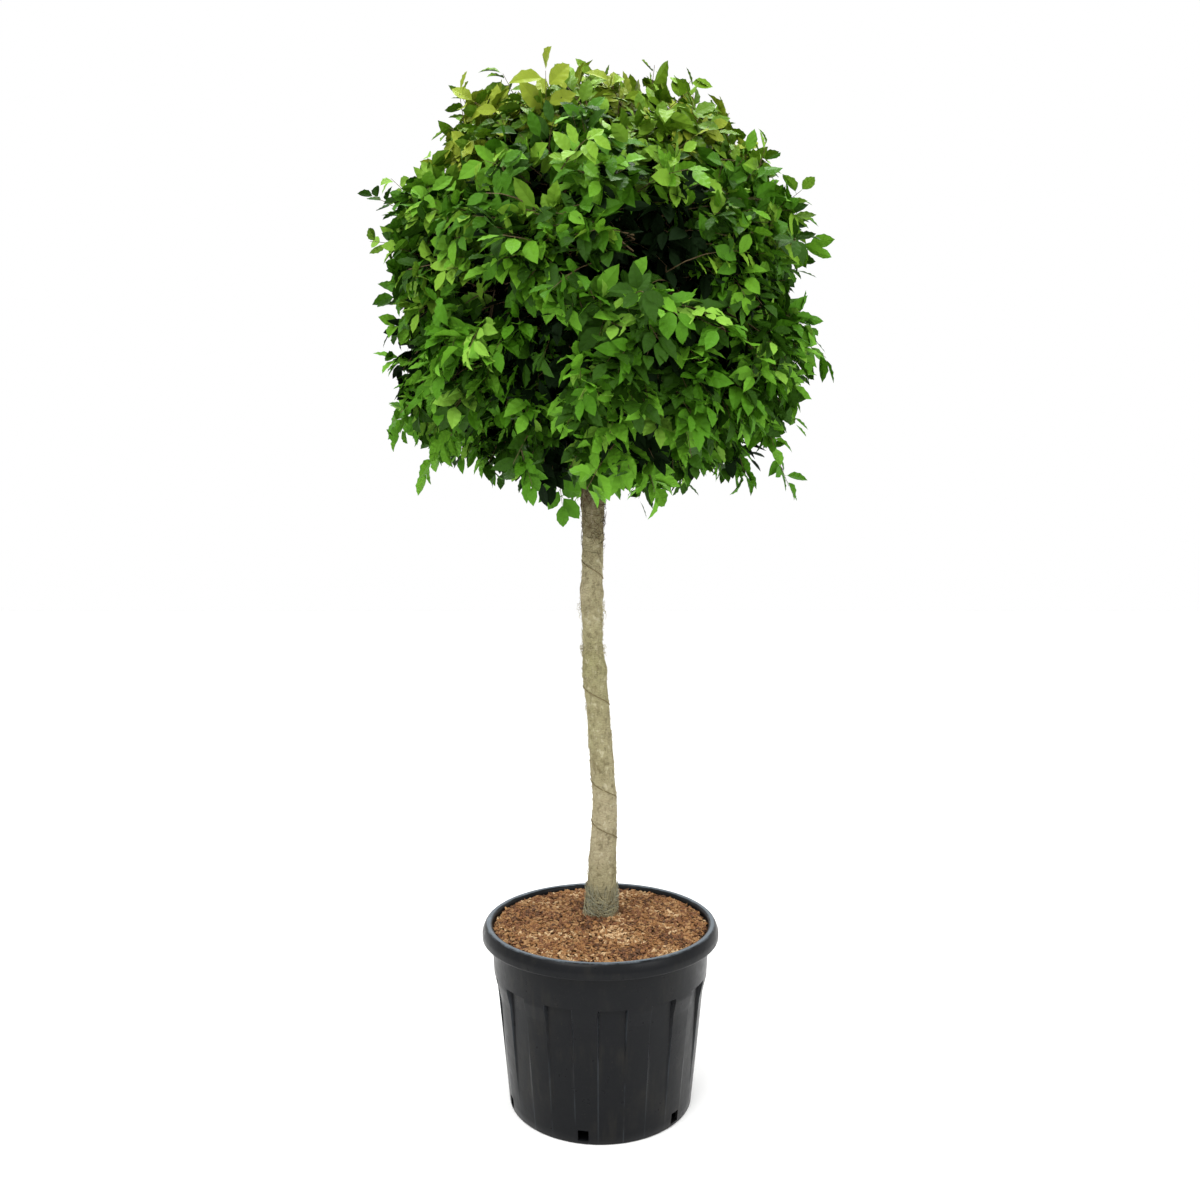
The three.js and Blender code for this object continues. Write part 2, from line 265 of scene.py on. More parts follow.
class Shader:
    """A material's node tree, with short ways to add and join nodes."""

    def __init__(self, name: str) -> None:
        """Start a material that holds one plain Principled surface.

        Args:
            name: The material's name.
        """
        self.material = bpy.data.materials.new(name)
        self.material.use_nodes = True
        self.tree = self.material.node_tree
        self.surface = self.tree.nodes["Principled BSDF"]

    def add(self, kind: str, inputs: dict | None = None, **settings: object) -> bpy.types.Node:
        """Add a node.

        Args:
            kind: The node's type, without its ShaderNode prefix.
            inputs: Socket values or node outputs to join, by socket name or number.
            settings: Attributes of the node.

        Returns:
            The new node.
        """
        node = self.tree.nodes.new("ShaderNode" + kind)
        for key, value in settings.items():
            setattr(node, key, value)
        for key, value in (inputs or {}).items():
            if isinstance(value, bpy.types.NodeSocket):
                self.tree.links.new(value, node.inputs[key])
            else:
                node.inputs[key].default_value = value
        return node

    def place(self, scale: tuple[float, float, float] = (1, 1, 1)) -> bpy.types.NodeSocket:
        """Coordinates of the object in metres, stretched by a scale."""
        source = self.add("TexCoord")
        return self.add("Mapping", {"Vector": source.outputs["Object"], "Scale": scale}).outputs[0]

    def noise(
        self, place: bpy.types.NodeSocket, scale: float, detail: float = 3, rough: float = 0.55
    ) -> bpy.types.NodeSocket:
        """A noise value at a scale, in waves per metre."""
        inputs = {"Vector": place, "Scale": scale, "Detail": detail, "Roughness": rough}
        return self.add("TexNoise", inputs).outputs["Fac"]

    def ramp(self, value: bpy.types.NodeSocket, stops: list[tuple[float, str]]) -> bpy.types.NodeSocket:
        """Turn a value into a colour.

        Args:
            value: The driving socket.
            stops: Positions and colour codes, in order.

        Returns:
            The colour socket.
        """
        node = self.add("ValToRGB", {"Fac": value})
        ramp = node.color_ramp
        while len(ramp.elements) < len(stops):
            ramp.elements.new(0.5)
        for element, (position, code) in zip(ramp.elements, stops):
            element.position = position
            element.color = linear(code)
        return node.outputs["Color"]

    def mix(self, share: object, first: object, second: object, blend: str = "MIX") -> bpy.types.NodeSocket:
        """Mix two colours.

        Args:
            share: How much of the second colour there is, as a socket or a number.
            first: A colour socket or a linear colour.
            second: The same.
            blend: How the two are mixed.

        Returns:
            The colour socket.
        """
        node = self.add("Mix", data_type="RGBA", blend_type=blend)
        for socket, value in ((node.inputs[0], share), (node.inputs[6], first), (node.inputs[7], second)):
            if isinstance(value, bpy.types.NodeSocket):
                self.tree.links.new(value, socket)
            else:
                socket.default_value = value
        return node.outputs[2]

    def math(self, operation: str, first: object, second: object = 0.5) -> bpy.types.NodeSocket:
        """One step of arithmetic between sockets or numbers."""
        return self.add("Math", {0: first, 1: second}, operation=operation).outputs[0]

    def span(
        self, value: object, low: float, high: float, out: tuple[float, float] = (0, 1)
    ) -> bpy.types.NodeSocket:
        """Map a value from one range to another, clamped."""
        inputs = {"Value": value, "From Min": low, "From Max": high, "To Min": out[0], "To Max": out[1]}
        return self.add("MapRange", inputs).outputs[0]

    def bump(self, height: bpy.types.NodeSocket, strength: float, distance: float) -> None:
        """Raise the surface by a height value.

        Args:
            height: The height socket.
            strength: How strong the relief is, from nought to one.
            distance: Its depth in metres.
        """
        inputs = {"Height": height, "Strength": strength, "Distance": distance}
        node = self.add("Bump", inputs)
        self.tree.links.new(node.outputs[0], self.surface.inputs["Normal"])

    def finish(self, colour: object, roughness: object, specular: float = 0.5) -> bpy.types.Material:
        """Set the surface's colour, roughness and sheen of plain light.

        Args:
            colour: A colour socket or a linear colour.
            roughness: A socket or a number.
            specular: The strength of plain reflections.

        Returns:
            The finished material.
        """
        for name, value in (("Base Color", colour), ("Roughness", roughness)):
            if isinstance(value, bpy.types.NodeSocket):
                self.tree.links.new(value, self.surface.inputs[name])
            else:
                self.surface.inputs[name].default_value = value
        self.surface.inputs["Specular IOR Level"].default_value = specular
        return self.material


# ---------------------------------------------------------------------------------------------
# Finishes
# ---------------------------------------------------------------------------------------------


@dataclass(frozen=True)
class PotPlastic:
    """Black blown plastic with a satin skin and dust, and a painted highlight along the lip's crown and the
    panels' edges.
    """

    black: str = "121315"
    dust: str = "35322a"
    worn: str = "6f7880"
    film_share: float = 0.55
    speck_share: float = 0.35
    ripple_depth: float = 0.002

    def material(self) -> bpy.types.Material:
        """Build the plastic's nodes.

        Returns:
            The finished material.
        """
        shader = Shader("pot_plastic")
        place = shader.place()
        cloud = shader.noise(place, 9, 4, 0.6)
        streak = shader.noise(shader.place((1, 1, 0.12)), 70, 3, 0.6)
        fleck = shader.noise(place, 240, 2, 0.5)
        dusty = shader.math("MULTIPLY", shader.span(cloud, 0.46, 0.78), shader.span(streak, 0.42, 0.75))
        film = shader.math("MULTIPLY", dusty, self.film_share)
        specks = shader.math("MULTIPLY", shader.span(fleck, 0.69, 0.76), self.speck_share)
        colour = shader.mix(shader.math("MAXIMUM", film, specks), linear(self.black), linear(self.dust))
        # Painted highlight: a pale bluish colour, full on the lip's crown and faint and patchy on the panels'
        # edges, where the pot's corner layer marks it.
        painted_highlight = shader.add("Attribute", attribute_name="painted_highlight").outputs["Fac"]
        highlight_patches = shader.span(shader.noise(shader.place((1, 1, 0.3)), 22, 4, 0.65), 0.4, 0.62)
        highlight_share = shader.math("MAXIMUM", highlight_patches, shader.span(painted_highlight, 0.6, 0.9, (0, 0.75)))
        colour = shader.mix(shader.math("MULTIPLY", painted_highlight, highlight_share), colour, linear(self.worn))
        rough = shader.span(shader.noise(place, 38, 4, 0.6), 0.3, 0.75, (0.26, 0.42))
        ripple = shader.math("ADD", shader.noise(place, 26, 2), shader.math("MULTIPLY", fleck, 0.12))
        shader.bump(ripple, 0.3, self.ripple_depth)
        return shader.finish(colour, rough, 0.1)


@dataclass(frozen=True)
class Bark:
    """Grey-brown bark with darker furrows."""

    furrow: str = "2a231a"
    plate: str = "6a604c"
    lichen: str = "8a8468"

    def material(self) -> bpy.types.Material:
        """Build the bark's nodes.

        Returns:
            The finished material.
        """
        shader = Shader("bark")
        grain = shader.noise(shader.place((1, 1, 0.22)), 160, 5, 0.65)
        patch = shader.noise(shader.place(), 26, 3)
        base = shader.ramp(grain, [(0.32, self.furrow), (0.62, self.plate)])
        colour = shader.mix(shader.span(patch, 0.55, 0.75, (0, 0.5)), base, linear(self.lichen))
        shader.bump(grain, 0.7, 0.003)
        return shader.finish(colour, 0.85, 0.25)


@dataclass(frozen=True)
class TwigBark:
    """Smooth brown bark of young twigs."""

    colour: str = "5a4a30"

    def material(self) -> bpy.types.Material:
        """Build the twig's nodes, with a plain colour and a fine grain.

        Returns:
            The finished material.
        """
        shader = Shader("twig_bark")
        shader.bump(shader.noise(shader.place(), 900, 2), 0.3, 0.0004)
        return shader.finish(linear(self.colour), 0.7, 0.3)


@dataclass(frozen=True)
class WrapFibre:
    """Pale matted fibre with brown blotches, darker towards the top in a mottled stain together with painted
    shade of the crown.
    """

    pale: str = "b3a989"
    green: str = "9a976c"
    brown: str = "6b5d42"
    # The colour of the top's stain and painted shade.
    dark: str = "4a341f"
    damp: str = "5c5e4c"
    spots: str = "6f6549"
    straw: str = "c3bb9f"
    bleached: str = "cfc8ab"
    stain_and_shade_from: float = 1.15
    stain_and_shade_to: float = 1.35
    damp_from: float = 0.4
    damp_to: float = 0.47

    def material(self) -> bpy.types.Material:
        """Build the fibre's nodes.

        Returns:
            The finished material.
        """
        shader = Shader("stem_wrap")
        source = shader.add("TexCoord").outputs["Object"]
        height = shader.add("SeparateXYZ", {0: source}).outputs["Z"]
        weave = shader.noise(shader.place((1, 1, 4.5)), 120, 6, 0.7)
        cross = shader.noise(shader.place((1.6, 1.6, 0.5)), 210, 5, 0.65)
        blotch = shader.noise(shader.place((1, 1, 0.6)), 36, 6, 0.7)
        tint = shader.noise(shader.place((1, 1, 0.35)), 7, 2)
        base = shader.mix(shader.span(tint, 0.4, 0.62), linear(self.pale), linear(self.green))
        base = shader.mix(shader.span(weave, 0.42, 0.7, (0, 0.55)), base, linear(self.brown))
        base = shader.mix(shader.span(cross, 0.55, 0.75, (0, 0.4)), base, linear(self.straw))
        base = shader.mix(shader.span(blotch, 0.53, 0.72, (0, 0.7)), base, linear(self.brown))
        spot = shader.noise(shader.place((1, 1, 0.8)), 85, 3, 0.6)
        streak = shader.noise(shader.place((1, 1, 0.28)), 130, 4, 0.7)
        base = shader.mix(shader.span(spot, 0.56, 0.66, (0, 0.6)), base, linear(self.spots))
        base = shader.mix(shader.span(streak, 0.54, 0.68, (0, 0.55)), base, linear(self.spots))
        base = shader.mix(shader.span(spot, 0.42, 0.33, (0, 0.45)), base, linear(self.bleached))
        near_foot = shader.span(height, self.damp_to, self.damp_from)
        foot = shader.math("MULTIPLY", near_foot, shader.span(weave, 0.3, 0.6, (0.3, 1)))
        base = shader.mix(shader.math("MULTIPLY", foot, 0.8), base, linear(self.damp))
        # Darker towards the top: a mottled stain together with painted shade under the crown.
        stain_and_shade = shader.math("MULTIPLY", shader.span(height, self.stain_and_shade_from, self.stain_and_shade_to), 0.95)
        mottled = shader.math("MULTIPLY", stain_and_shade, shader.span(blotch, 0.34, 0.56, (0.2, 1)))
        colour = shader.mix(mottled, base, linear(self.dark))
        relief = shader.math("ADD", weave, shader.math("MULTIPLY", cross, 0.6))
        shader.bump(relief, 1.0, 0.006)
        return shader.finish(colour, 0.95, 0.1)


@dataclass(frozen=True)
class PlainFibre:
    """Loose fibre or twine in one plain colour with a fine grain."""

    name: str
    colour: str

    def material(self) -> bpy.types.Material:
        """Build the fibre's nodes.

        Returns:
            The finished material.
        """
        shader = Shader(self.name)
        shader.bump(shader.noise(shader.place(), 1400, 2), 0.4, 0.0004)
        return shader.finish(linear(self.colour), 0.9, 0.2)


@dataclass(frozen=True)
class ChipFinish:
    """One colour of bark chip, with grain along it."""

    name: str
    colour: str
    shade: str
    share: float

    def material(self) -> bpy.types.Material:
        """Build the chip's nodes.

        Returns:
            The finished material.
        """
        shader = Shader(self.name)
        grain = shader.noise(shader.place((1, 3, 1)), 260, 4, 0.65)
        colour = shader.ramp(grain, [(0.35, self.shade), (0.6, self.colour)])
        shader.bump(grain, 0.6, 0.0015)
        return shader.finish(colour, 0.88, 0.25)


@dataclass(frozen=True)
class LeafFinish:
    """One green of leaf: a plain colour and gloss, with side veins raised on the blade."""

    name: str
    colour: str
    share: float
    roughness: float = 0.5
    shine: float = 0.09
    veins: float = 20.0
    slant: float = 0.55

    def material(self) -> bpy.types.Material:
        """Build the leaf's nodes.

        Returns:
            The finished material.
        """
        shader = Shader(self.name)
        split = shader.add("SeparateXYZ", {0: shader.add("UVMap", uv_map="blade").outputs[0]})
        across = shader.math("ABSOLUTE", shader.math("SUBTRACT", split.outputs["X"], 0.5))
        along = shader.math("SUBTRACT", split.outputs["Y"], shader.math("MULTIPLY", across, self.slant))
        wave = shader.math("SINE", shader.math("MULTIPLY", along, self.veins * 2 * math.pi))
        shader.bump(wave, 0.3, 0.0006)
        return shader.finish(linear(self.colour), self.roughness, self.shine)


# ---------------------------------------------------------------------------------------------
# The pot and what fills it
# ---------------------------------------------------------------------------------------------


@dataclass
class NurseryPot:
    """A round black container with a rolled lip, a collar and recessed panels round its side.

    Points of the outside and of a panel's floor are a radius and a height. The columns of corners round
    one panel and the plain strip after it are given in half widths of the panel. A painted highlight lies on
    the lip's crown, where it is higher and nearer the middle than two given sizes, and faintly on the panels'
    edges.
    """

    foot_radius: float = 0.1985
    wall: float = 0.004
    floor: float = 0.006
    panels: int = 13
    panel_width: float = 0.056
    first_panel: float = 6.0
    panel_top: tuple[float, float] = (0.2155, 0.286)
    panel_foot: tuple[float, float] = (0.2019, 0.035)
    panel_press: float = 0.6
    panel_step: float = 0.0012
    panel_edge: float = 1.05
    strip_width: float = 1.6
    collar_foot: float = 0.357
    inner_span: tuple[float, float] = (0.02, 0.35)
    lip_points: int = 10
    crease: float = 42.0
    edge_highlight: float = 0.16
    highlight_above: float = 0.3876
    highlight_within: float = 0.2495
    hole: float = 0.022
    hole_depth: float = 0.05
    hole_sill: float = 0.008
    holes: int = 6
    first_hole: float = -10.0
    outside: tuple[tuple[float, float], ...] = (
        (0.1955, 0.0), (0.1985, 0.003), (0.2002, 0.02), (0.2019, 0.0352), (0.2050, 0.065),
        (0.2081, 0.095), (0.2112, 0.125), (0.2143, 0.155), (0.2174, 0.185), (0.2200, 0.21),
        (0.2224, 0.2335), (0.2231, 0.2375), (0.2240, 0.2465), (0.2248, 0.2495), (0.2300, 0.2715),
        (0.2314, 0.2765), (0.2320, 0.2795), (0.2322, 0.2852), (0.23225, 0.2863), (0.2326, 0.292),
        (0.2346, 0.325), (0.2362, 0.352), (0.2370, 0.3572), (0.2390, 0.3584), (0.2560, 0.3570),
        (0.2572, 0.3584), (0.2575, 0.3610), (0.2575, 0.3690), (0.2567, 0.3725), (0.2532, 0.3815),
        (0.2508, 0.3855), (0.2470, 0.3884), (0.2450, 0.3889), (0.2410, 0.3878), (0.2375, 0.3862),
        (0.2360, 0.3840), (0.2347, 0.3780), (0.2344, 0.372),
    )
    columns: tuple[float, ...] = (
        -1.035, -1.0, -0.9, -0.72, -0.45, -0.16, 0.16, 0.45, 0.72, 0.9, 1.0, 1.035,
        1.16, 1.36, 1.6, 1.9, 2.2, 2.5,
    )

    def build(self) -> list[bpy.types.Object]:
        """Build the pot.

        Returns:
            The pot's piece.
        """
        bm = bmesh.new()
        below_lip = self.outside[: -self.lip_points]
        low, high = self.inner_span
        inner = [(r - self.wall, z) for r, z in reversed(below_lip) if low < z < high]
        floor = [(self.foot_radius - self.wall - 0.002, self.floor), (0.0, self.floor)]
        profile = [(0.0, 0.0), *self.outside, *inner, *floor]
        verts = [bm.verts.new((r, 0.0, z)) for r, z in profile]
        edges = [bm.edges.new(pair) for pair in zip(verts, verts[1:])]
        steps = self.panels * len(self.columns)
        around = {"cent": (0, 0, 0), "axis": (0, 0, 1), "angle": 2 * math.pi}
        bmesh.ops.spin(bm, geom=verts + edges, steps=steps, use_merge=True, **around)
        bmesh.ops.remove_doubles(bm, verts=bm.verts[:], dist=1e-6)
        self._press_panels(bm)
        bmesh.ops.recalc_face_normals(bm, faces=bm.faces[:])
        for face in bm.faces:
            face.smooth = True
        mesh = bpy.data.meshes.new("pot_shell")
        bm.to_mesh(mesh)
        bm.free()
        piece = link(mesh, "pot_shell", PotPlastic().material())
        self._cut_holes(piece)
        piece.data.set_sharp_from_angle(angle=math.radians(self.crease))
        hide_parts("pot")
        return [piece]

    def _press_panels(self, bm: bmesh.types.BMesh) -> None:
        """Gather the columns of corners at the panels' edges, press the panels in and mark the painted
        highlight.

        Args:
            bm: The spun pot.
        """
        pitch = 2 * math.pi / self.panels
        half = self.panel_width / 2 / self.panel_top[0]
        count = len(self.columns)
        top_r, top_z = self.panel_top
        foot_r, foot_z = self.panel_foot
        strip = pitch - 2 * self.panel_edge * half
        radii, heights = zip(*(point for point in self.outside if point[1] < self.collar_foot))
        # A corner layer that carries the painted highlight to the plastic's nodes.
        painted_highlight = bm.verts.layers.float.new("painted_highlight")
        for vert in bm.verts:
            radius = math.hypot(vert.co.x, vert.co.y)
            if radius < 1e-4:
                continue
            bearing = math.atan2(vert.co.y, vert.co.x) % (2 * math.pi)
            panel, column = divmod(round(bearing / (pitch / count)) % (count * self.panels), count)
            place = self.columns[column]
            if place <= self.panel_edge:
                local = place * half
            else:
                local = half * self.panel_edge + (place - self.panel_edge) / self.strip_width * strip
            angle = math.radians(self.first_panel - 90) + panel * pitch + local
            z = vert.co.z
            # Faint painted highlight along the panels' edges.
            if abs(abs(place) - 1.0) < 0.01 and z < top_z:
                vert[painted_highlight] = self.edge_highlight
            # Full painted highlight along the lip's crown.
            if z > self.highlight_above and radius < self.highlight_within:
                vert[painted_highlight] = 1.0
            if abs(place) < 0.99 and foot_z < z < top_z:
                skin = self.wall if radius < np.interp(z, heights, radii) - self.wall / 2 else 0.0
                floor = foot_r + (top_r - foot_r) * (z - foot_z) / (top_z - foot_z)
                pressed = floor / math.cos(local) * math.cos(half) + self.panel_step - skin
                radius = min(radius, radius + self.panel_press * (pressed - radius))
            vert.co.x = radius * math.cos(angle)
            vert.co.y = radius * math.sin(angle)

    def _cut_holes(self, piece: bpy.types.Object) -> None:
        """Cut the square drain holes through the foot of the wall.

        Args:
            piece: The pot, whose mesh is replaced by the cut one.
        """
        bm = bmesh.new()
        for k in range(self.holes):
            angle = math.radians(self.first_hole - 90 + k * 360 / self.holes)
            cube = bmesh.ops.create_cube(bm, size=1.0)["verts"]
            bmesh.ops.scale(bm, vec=(self.hole_depth, self.hole, self.hole), verts=cube)
            bmesh.ops.translate(bm, vec=(self.foot_radius, 0, self.hole_sill + self.hole / 2), verts=cube)
            bmesh.ops.rotate(bm, cent=(0, 0, 0), matrix=Matrix.Rotation(angle, 3, "Z"), verts=cube)
        mesh = bpy.data.meshes.new("drain_cutter")
        bm.to_mesh(mesh)
        bm.free()
        cutter = bpy.data.objects.new("drain_cutter", mesh)
        bpy.context.scene.collection.objects.link(cutter)
        boolean = piece.modifiers.new("holes", "BOOLEAN")
        boolean.object = cutter
        boolean.solver = "EXACT"
        graph = bpy.context.evaluated_depsgraph_get()
        result = bpy.data.meshes.new_from_object(piece.evaluated_get(graph))
        piece.modifiers.clear()
        old = piece.data
        piece.data = result
        bpy.data.meshes.remove(old)
        bpy.data.objects.remove(cutter)


@dataclass
class MulchBed:
    """Bark chips lying on the growing medium, heaped a little round the stem."""

    radius: float = 0.2335
    edge_height: float = 0.3765
    heap: float = 0.0185
    chips: int = 9000
    seed: int = 41
    rim_gap: float = 0.004
    chip_lift: tuple[float, float] = (-0.003, 0.0035)
    chip_size: tuple[tuple[float, float], ...] = ((0.0025, 0.0065), (0.0018, 0.0036), (0.0009, 0.002))
    fines: ChipFinish = ChipFinish("mulch_fines", "6a4c31", "44301f", 1)
    colours: tuple[ChipFinish, ...] = (
        ChipFinish("chip_dark", "624530", "402c1d", 0.1),
        ChipFinish("chip_red", "80573a", "583a24", 0.27),
        ChipFinish("chip_orange", "996f46", "744f2d", 0.29),
        ChipFinish("chip_tan", "aa845a", "805f3d", 0.26),
        ChipFinish("chip_pale", "d0b28a", "9e7f58", 0.08),
    )

    def level(self, x: np.ndarray, y: np.ndarray) -> np.ndarray:
        """Height of the mulch's surface at a place."""
        r = np.hypot(x, y) / self.radius
        return self.edge_height + self.heap * np.clip(1 - r, 0, 1) ** 0.9

    def build(self) -> list[bpy.types.Object]:
        """Build the bed and its chips.

        Returns:
            The bed and one piece for each colour of chip.
        """
        pieces = [self._bed()]
        rng = np.random.default_rng(self.seed)
        place = rng.uniform(-1, 1, (self.chips * 2, 2)) * self.radius
        place = place[np.hypot(place[:, 0], place[:, 1]) < self.radius - self.rim_gap][: self.chips]
        count = len(place)
        height = self.level(place[:, 0], place[:, 1]) + rng.uniform(*self.chip_lift, count)
        spots = np.column_stack([place, height])
        shade = np.array([noise.noise(Vector((x * 14, y * 14, 3.1))) for x, y in place])
        order = np.argsort(np.argsort(shade * 0.75 + rng.uniform(-0.5, 0.5, count))) / count
        bounds = np.cumsum([0.0] + [c.share for c in self.colours])
        kinds = self._shapes(rng)
        for number, finish in enumerate(self.colours):
            chosen = np.flatnonzero((order >= bounds[number]) & (order < bounds[number + 1] + 1e-9))
            points, faces, base = [], [], 0
            for kind, (corners, sides) in enumerate(kinds):
                some = chosen[chosen % len(kinds) == kind]
                turns = self._turns(rng, len(some))
                sizes = np.column_stack([rng.uniform(low, high, len(some)) for low, high in self.chip_size])
                copies, sides_of_copies = scatter(corners, sides, turns, spots[some], sizes)
                points.append(copies)
                faces.append(sides_of_copies + base)
                base += len(copies)
            mesh = mesh_from_arrays(finish.name, np.vstack(points), np.vstack(faces), smooth=False)
            piece = link(mesh, finish.name, finish.material())
            pieces.append(piece)
        return pieces

    def _bed(self) -> bpy.types.Object:
        """Make the dark layer under the chips, uneven, out to the pot's wall.

        Returns:
            The bed's piece.
        """
        bm = bmesh.new()
        bmesh.ops.create_circle(bm, cap_ends=True, segments=96, radius=self.radius + 0.0006)
        bmesh.ops.inset_region(bm, faces=bm.faces[:], thickness=0.006)
        for _ in range(3):
            centre = max(bm.faces, key=lambda f: len(f.verts))
            bmesh.ops.inset_region(bm, faces=[centre], thickness=0.055)
        bmesh.ops.triangulate(bm, faces=bm.faces[:])
        bmesh.ops.subdivide_edges(bm, edges=bm.edges[:], cuts=2, use_grid_fill=True)
        for vert in bm.verts:
            rough = noise.noise(Vector((vert.co.x * 90, vert.co.y * 90, 0))) * 0.002
            level = self.level(np.array([vert.co.x]), np.array([vert.co.y]))[0]
            vert.co.z = level - 0.0035 + rough
        mesh = bpy.data.meshes.new("mulch_bed")
        bm.to_mesh(mesh)
        bm.free()
        piece = link(mesh, "mulch_bed", self.fines.material())
        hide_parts("growing_medium")
        return piece

    def _shapes(self, rng: np.random.Generator) -> list[tuple[np.ndarray, np.ndarray]]:
        """Make four chip shapes: blunt blocks and rounder nuggets.

        Args:
            rng: The bed's random numbers.

        Returns:
            The corners and faces of each shape.
        """
        kinds = []
        for kind in range(4):
            bm = bmesh.new()
            if kind % 2:
                bmesh.ops.create_icosphere(bm, subdivisions=1, radius=1.0)
            else:
                bmesh.ops.create_cube(bm, size=2.0)
                bmesh.ops.triangulate(bm, faces=bm.faces[:])
            for vert in bm.verts:
                vert.co += Vector(rng.uniform(-0.32, 0.32, 3))
            kinds.append(shape_arrays(bm))
        return kinds

    def _turns(self, rng: np.random.Generator, count: int) -> np.ndarray:
        """Random headings with a small tilt.

        Args:
            rng: The bed's random numbers.
            count: How many to make.

        Returns:
            One 3 x 3 matrix per chip.
        """
        heading = rng.uniform(0, 2 * math.pi, count)
        normal = unit(np.column_stack([rng.normal(0, 0.38, (count, 2)), np.ones(count)]))
        ahead = np.column_stack([np.cos(heading), np.sin(heading), np.zeros(count)])
        across = unit(np.cross(normal, ahead))
        return np.stack([np.cross(across, normal), across, normal], axis=-1)


# ---------------------------------------------------------------------------------------------
# The stem: trunk, wrap and tie
# ---------------------------------------------------------------------------------------------


@dataclass
class StemLine:
    """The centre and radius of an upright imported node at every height, smoothed between its rings.

    A slender ring takes the middle one of its corners' distances, and a wide one the greatest.
    """

    node: str
    ring_height: float = 0.002
    slender: float = 0.05
    heights: np.ndarray = field(init=False)
    centres: np.ndarray = field(init=False)
    radii: np.ndarray = field(init=False)

    def __post_init__(self) -> None:
        """Read the node's rings."""
        corners = node_corners(self.node)
        levels = np.unique(corners[:, 2].round(3))
        rings = [corners[np.abs(corners[:, 2] - level) < self.ring_height] for level in levels]
        self.heights = levels
        self.centres = np.array([(ring[:, :2].min(0) + ring[:, :2].max(0)) / 2 for ring in rings])
        spread = [np.linalg.norm(ring[:, :2] - centre, axis=1) for ring, centre in zip(rings, self.centres)]
        self.radii = np.array([np.median(one) if one.max() < self.slender else one.max() for one in spread])

    def at(self, height: np.ndarray) -> tuple[np.ndarray, np.ndarray]:
        """Centre and radius at some heights, on smooth curves through the rings.

        Args:
            height: Heights in metres.

        Returns:
            Centres, one row each, and radii.
        """
        last = len(self.heights) - 1
        i = np.clip(np.searchsorted(self.heights, height) - 1, 0, last - 1)
        t = np.clip((height - self.heights[i]) / (self.heights[i + 1] - self.heights[i]), 0, 1)
        values = np.column_stack([self.centres, self.radii])
        p0, p1, p2, p3 = (values[np.clip(i + k, 0, last)] for k in (-1, 0, 1, 2))
        t = t[:, None]
        square, cube = 2 * p0 - 5 * p1 + 4 * p2 - p3, 3 * p1 - p0 - 3 * p2 + p3
        curve = 0.5 * (2 * p1 + (p2 - p0) * t + square * t**2 + cube * t**3)
        return curve[:, :2], curve[:, 2]


@dataclass(frozen=True)
class Swelling:
    """A knob on the stem: height, bearing in degrees from straight ahead, stand-out and spread."""

    height: float
    bearing: float
    stand: float
    spread: float


def swept_skin(
    name: str,
    line: StemLine,
    heights: np.ndarray,
    sides: int,
    grow: float,
    relief: Callable[[float, float, Vector], float],
    knobs: tuple[Swelling, ...] = (),
) -> bpy.types.Mesh:
    """Sweep a round skin up a stem line and raise its relief.

    Args:
        name: The mesh's name.
        line: The stem to follow.
        heights: Height of each ring.
        sides: Corners round a ring.
        grow: What is added to the line's radius.
        relief: A function of bearing, height and position that gives the extra radius.
        knobs: Swellings of the stem.

    Returns:
        The skin's mesh, open at both ends.
    """
    bm = bmesh.new()
    circle = bmesh.ops.create_circle(bm, cap_ends=False, segments=sides, radius=1.0)["verts"]
    loop = bm.edges[:]
    for _ in heights[1:]:
        made = bmesh.ops.extrude_edge_only(bm, edges=loop)["geom"]
        loop = [edge for edge in made if isinstance(edge, bmesh.types.BMEdge) and len(edge.link_faces) == 1]
        rising = {vert for edge in loop for vert in edge.verts}
        bmesh.ops.translate(bm, vec=(0, 0, 1), verts=list(rising))
    centres, radii = line.at(heights)
    for vert in bm.verts:
        ring = int(round(vert.co.z))
        bearing = math.atan2(vert.co.y, vert.co.x)
        z = heights[ring]
        radius = radii[ring] + grow
        for knob in knobs:
            turn = (bearing - math.radians(knob.bearing - 90) + math.pi) % (2 * math.pi) - math.pi
            reach = ((z - knob.height) / knob.spread) ** 2 + (turn * STEM_RADIUS / knob.spread) ** 2
            radius += knob.stand * math.exp(-reach)
        x = centres[ring][0] + radius * math.cos(bearing)
        y = centres[ring][1] + radius * math.sin(bearing)
        push = relief(bearing, z, Vector((x, y, z)))
        vert.co = Vector((x + push * math.cos(bearing), y + push * math.sin(bearing), z))
    bmesh.ops.recalc_face_normals(bm, faces=bm.faces[:])
    for face in bm.faces:
        face.smooth = True
    mesh = bpy.data.meshes.new(name)
    bm.to_mesh(mesh)
    bm.free()
    return mesh


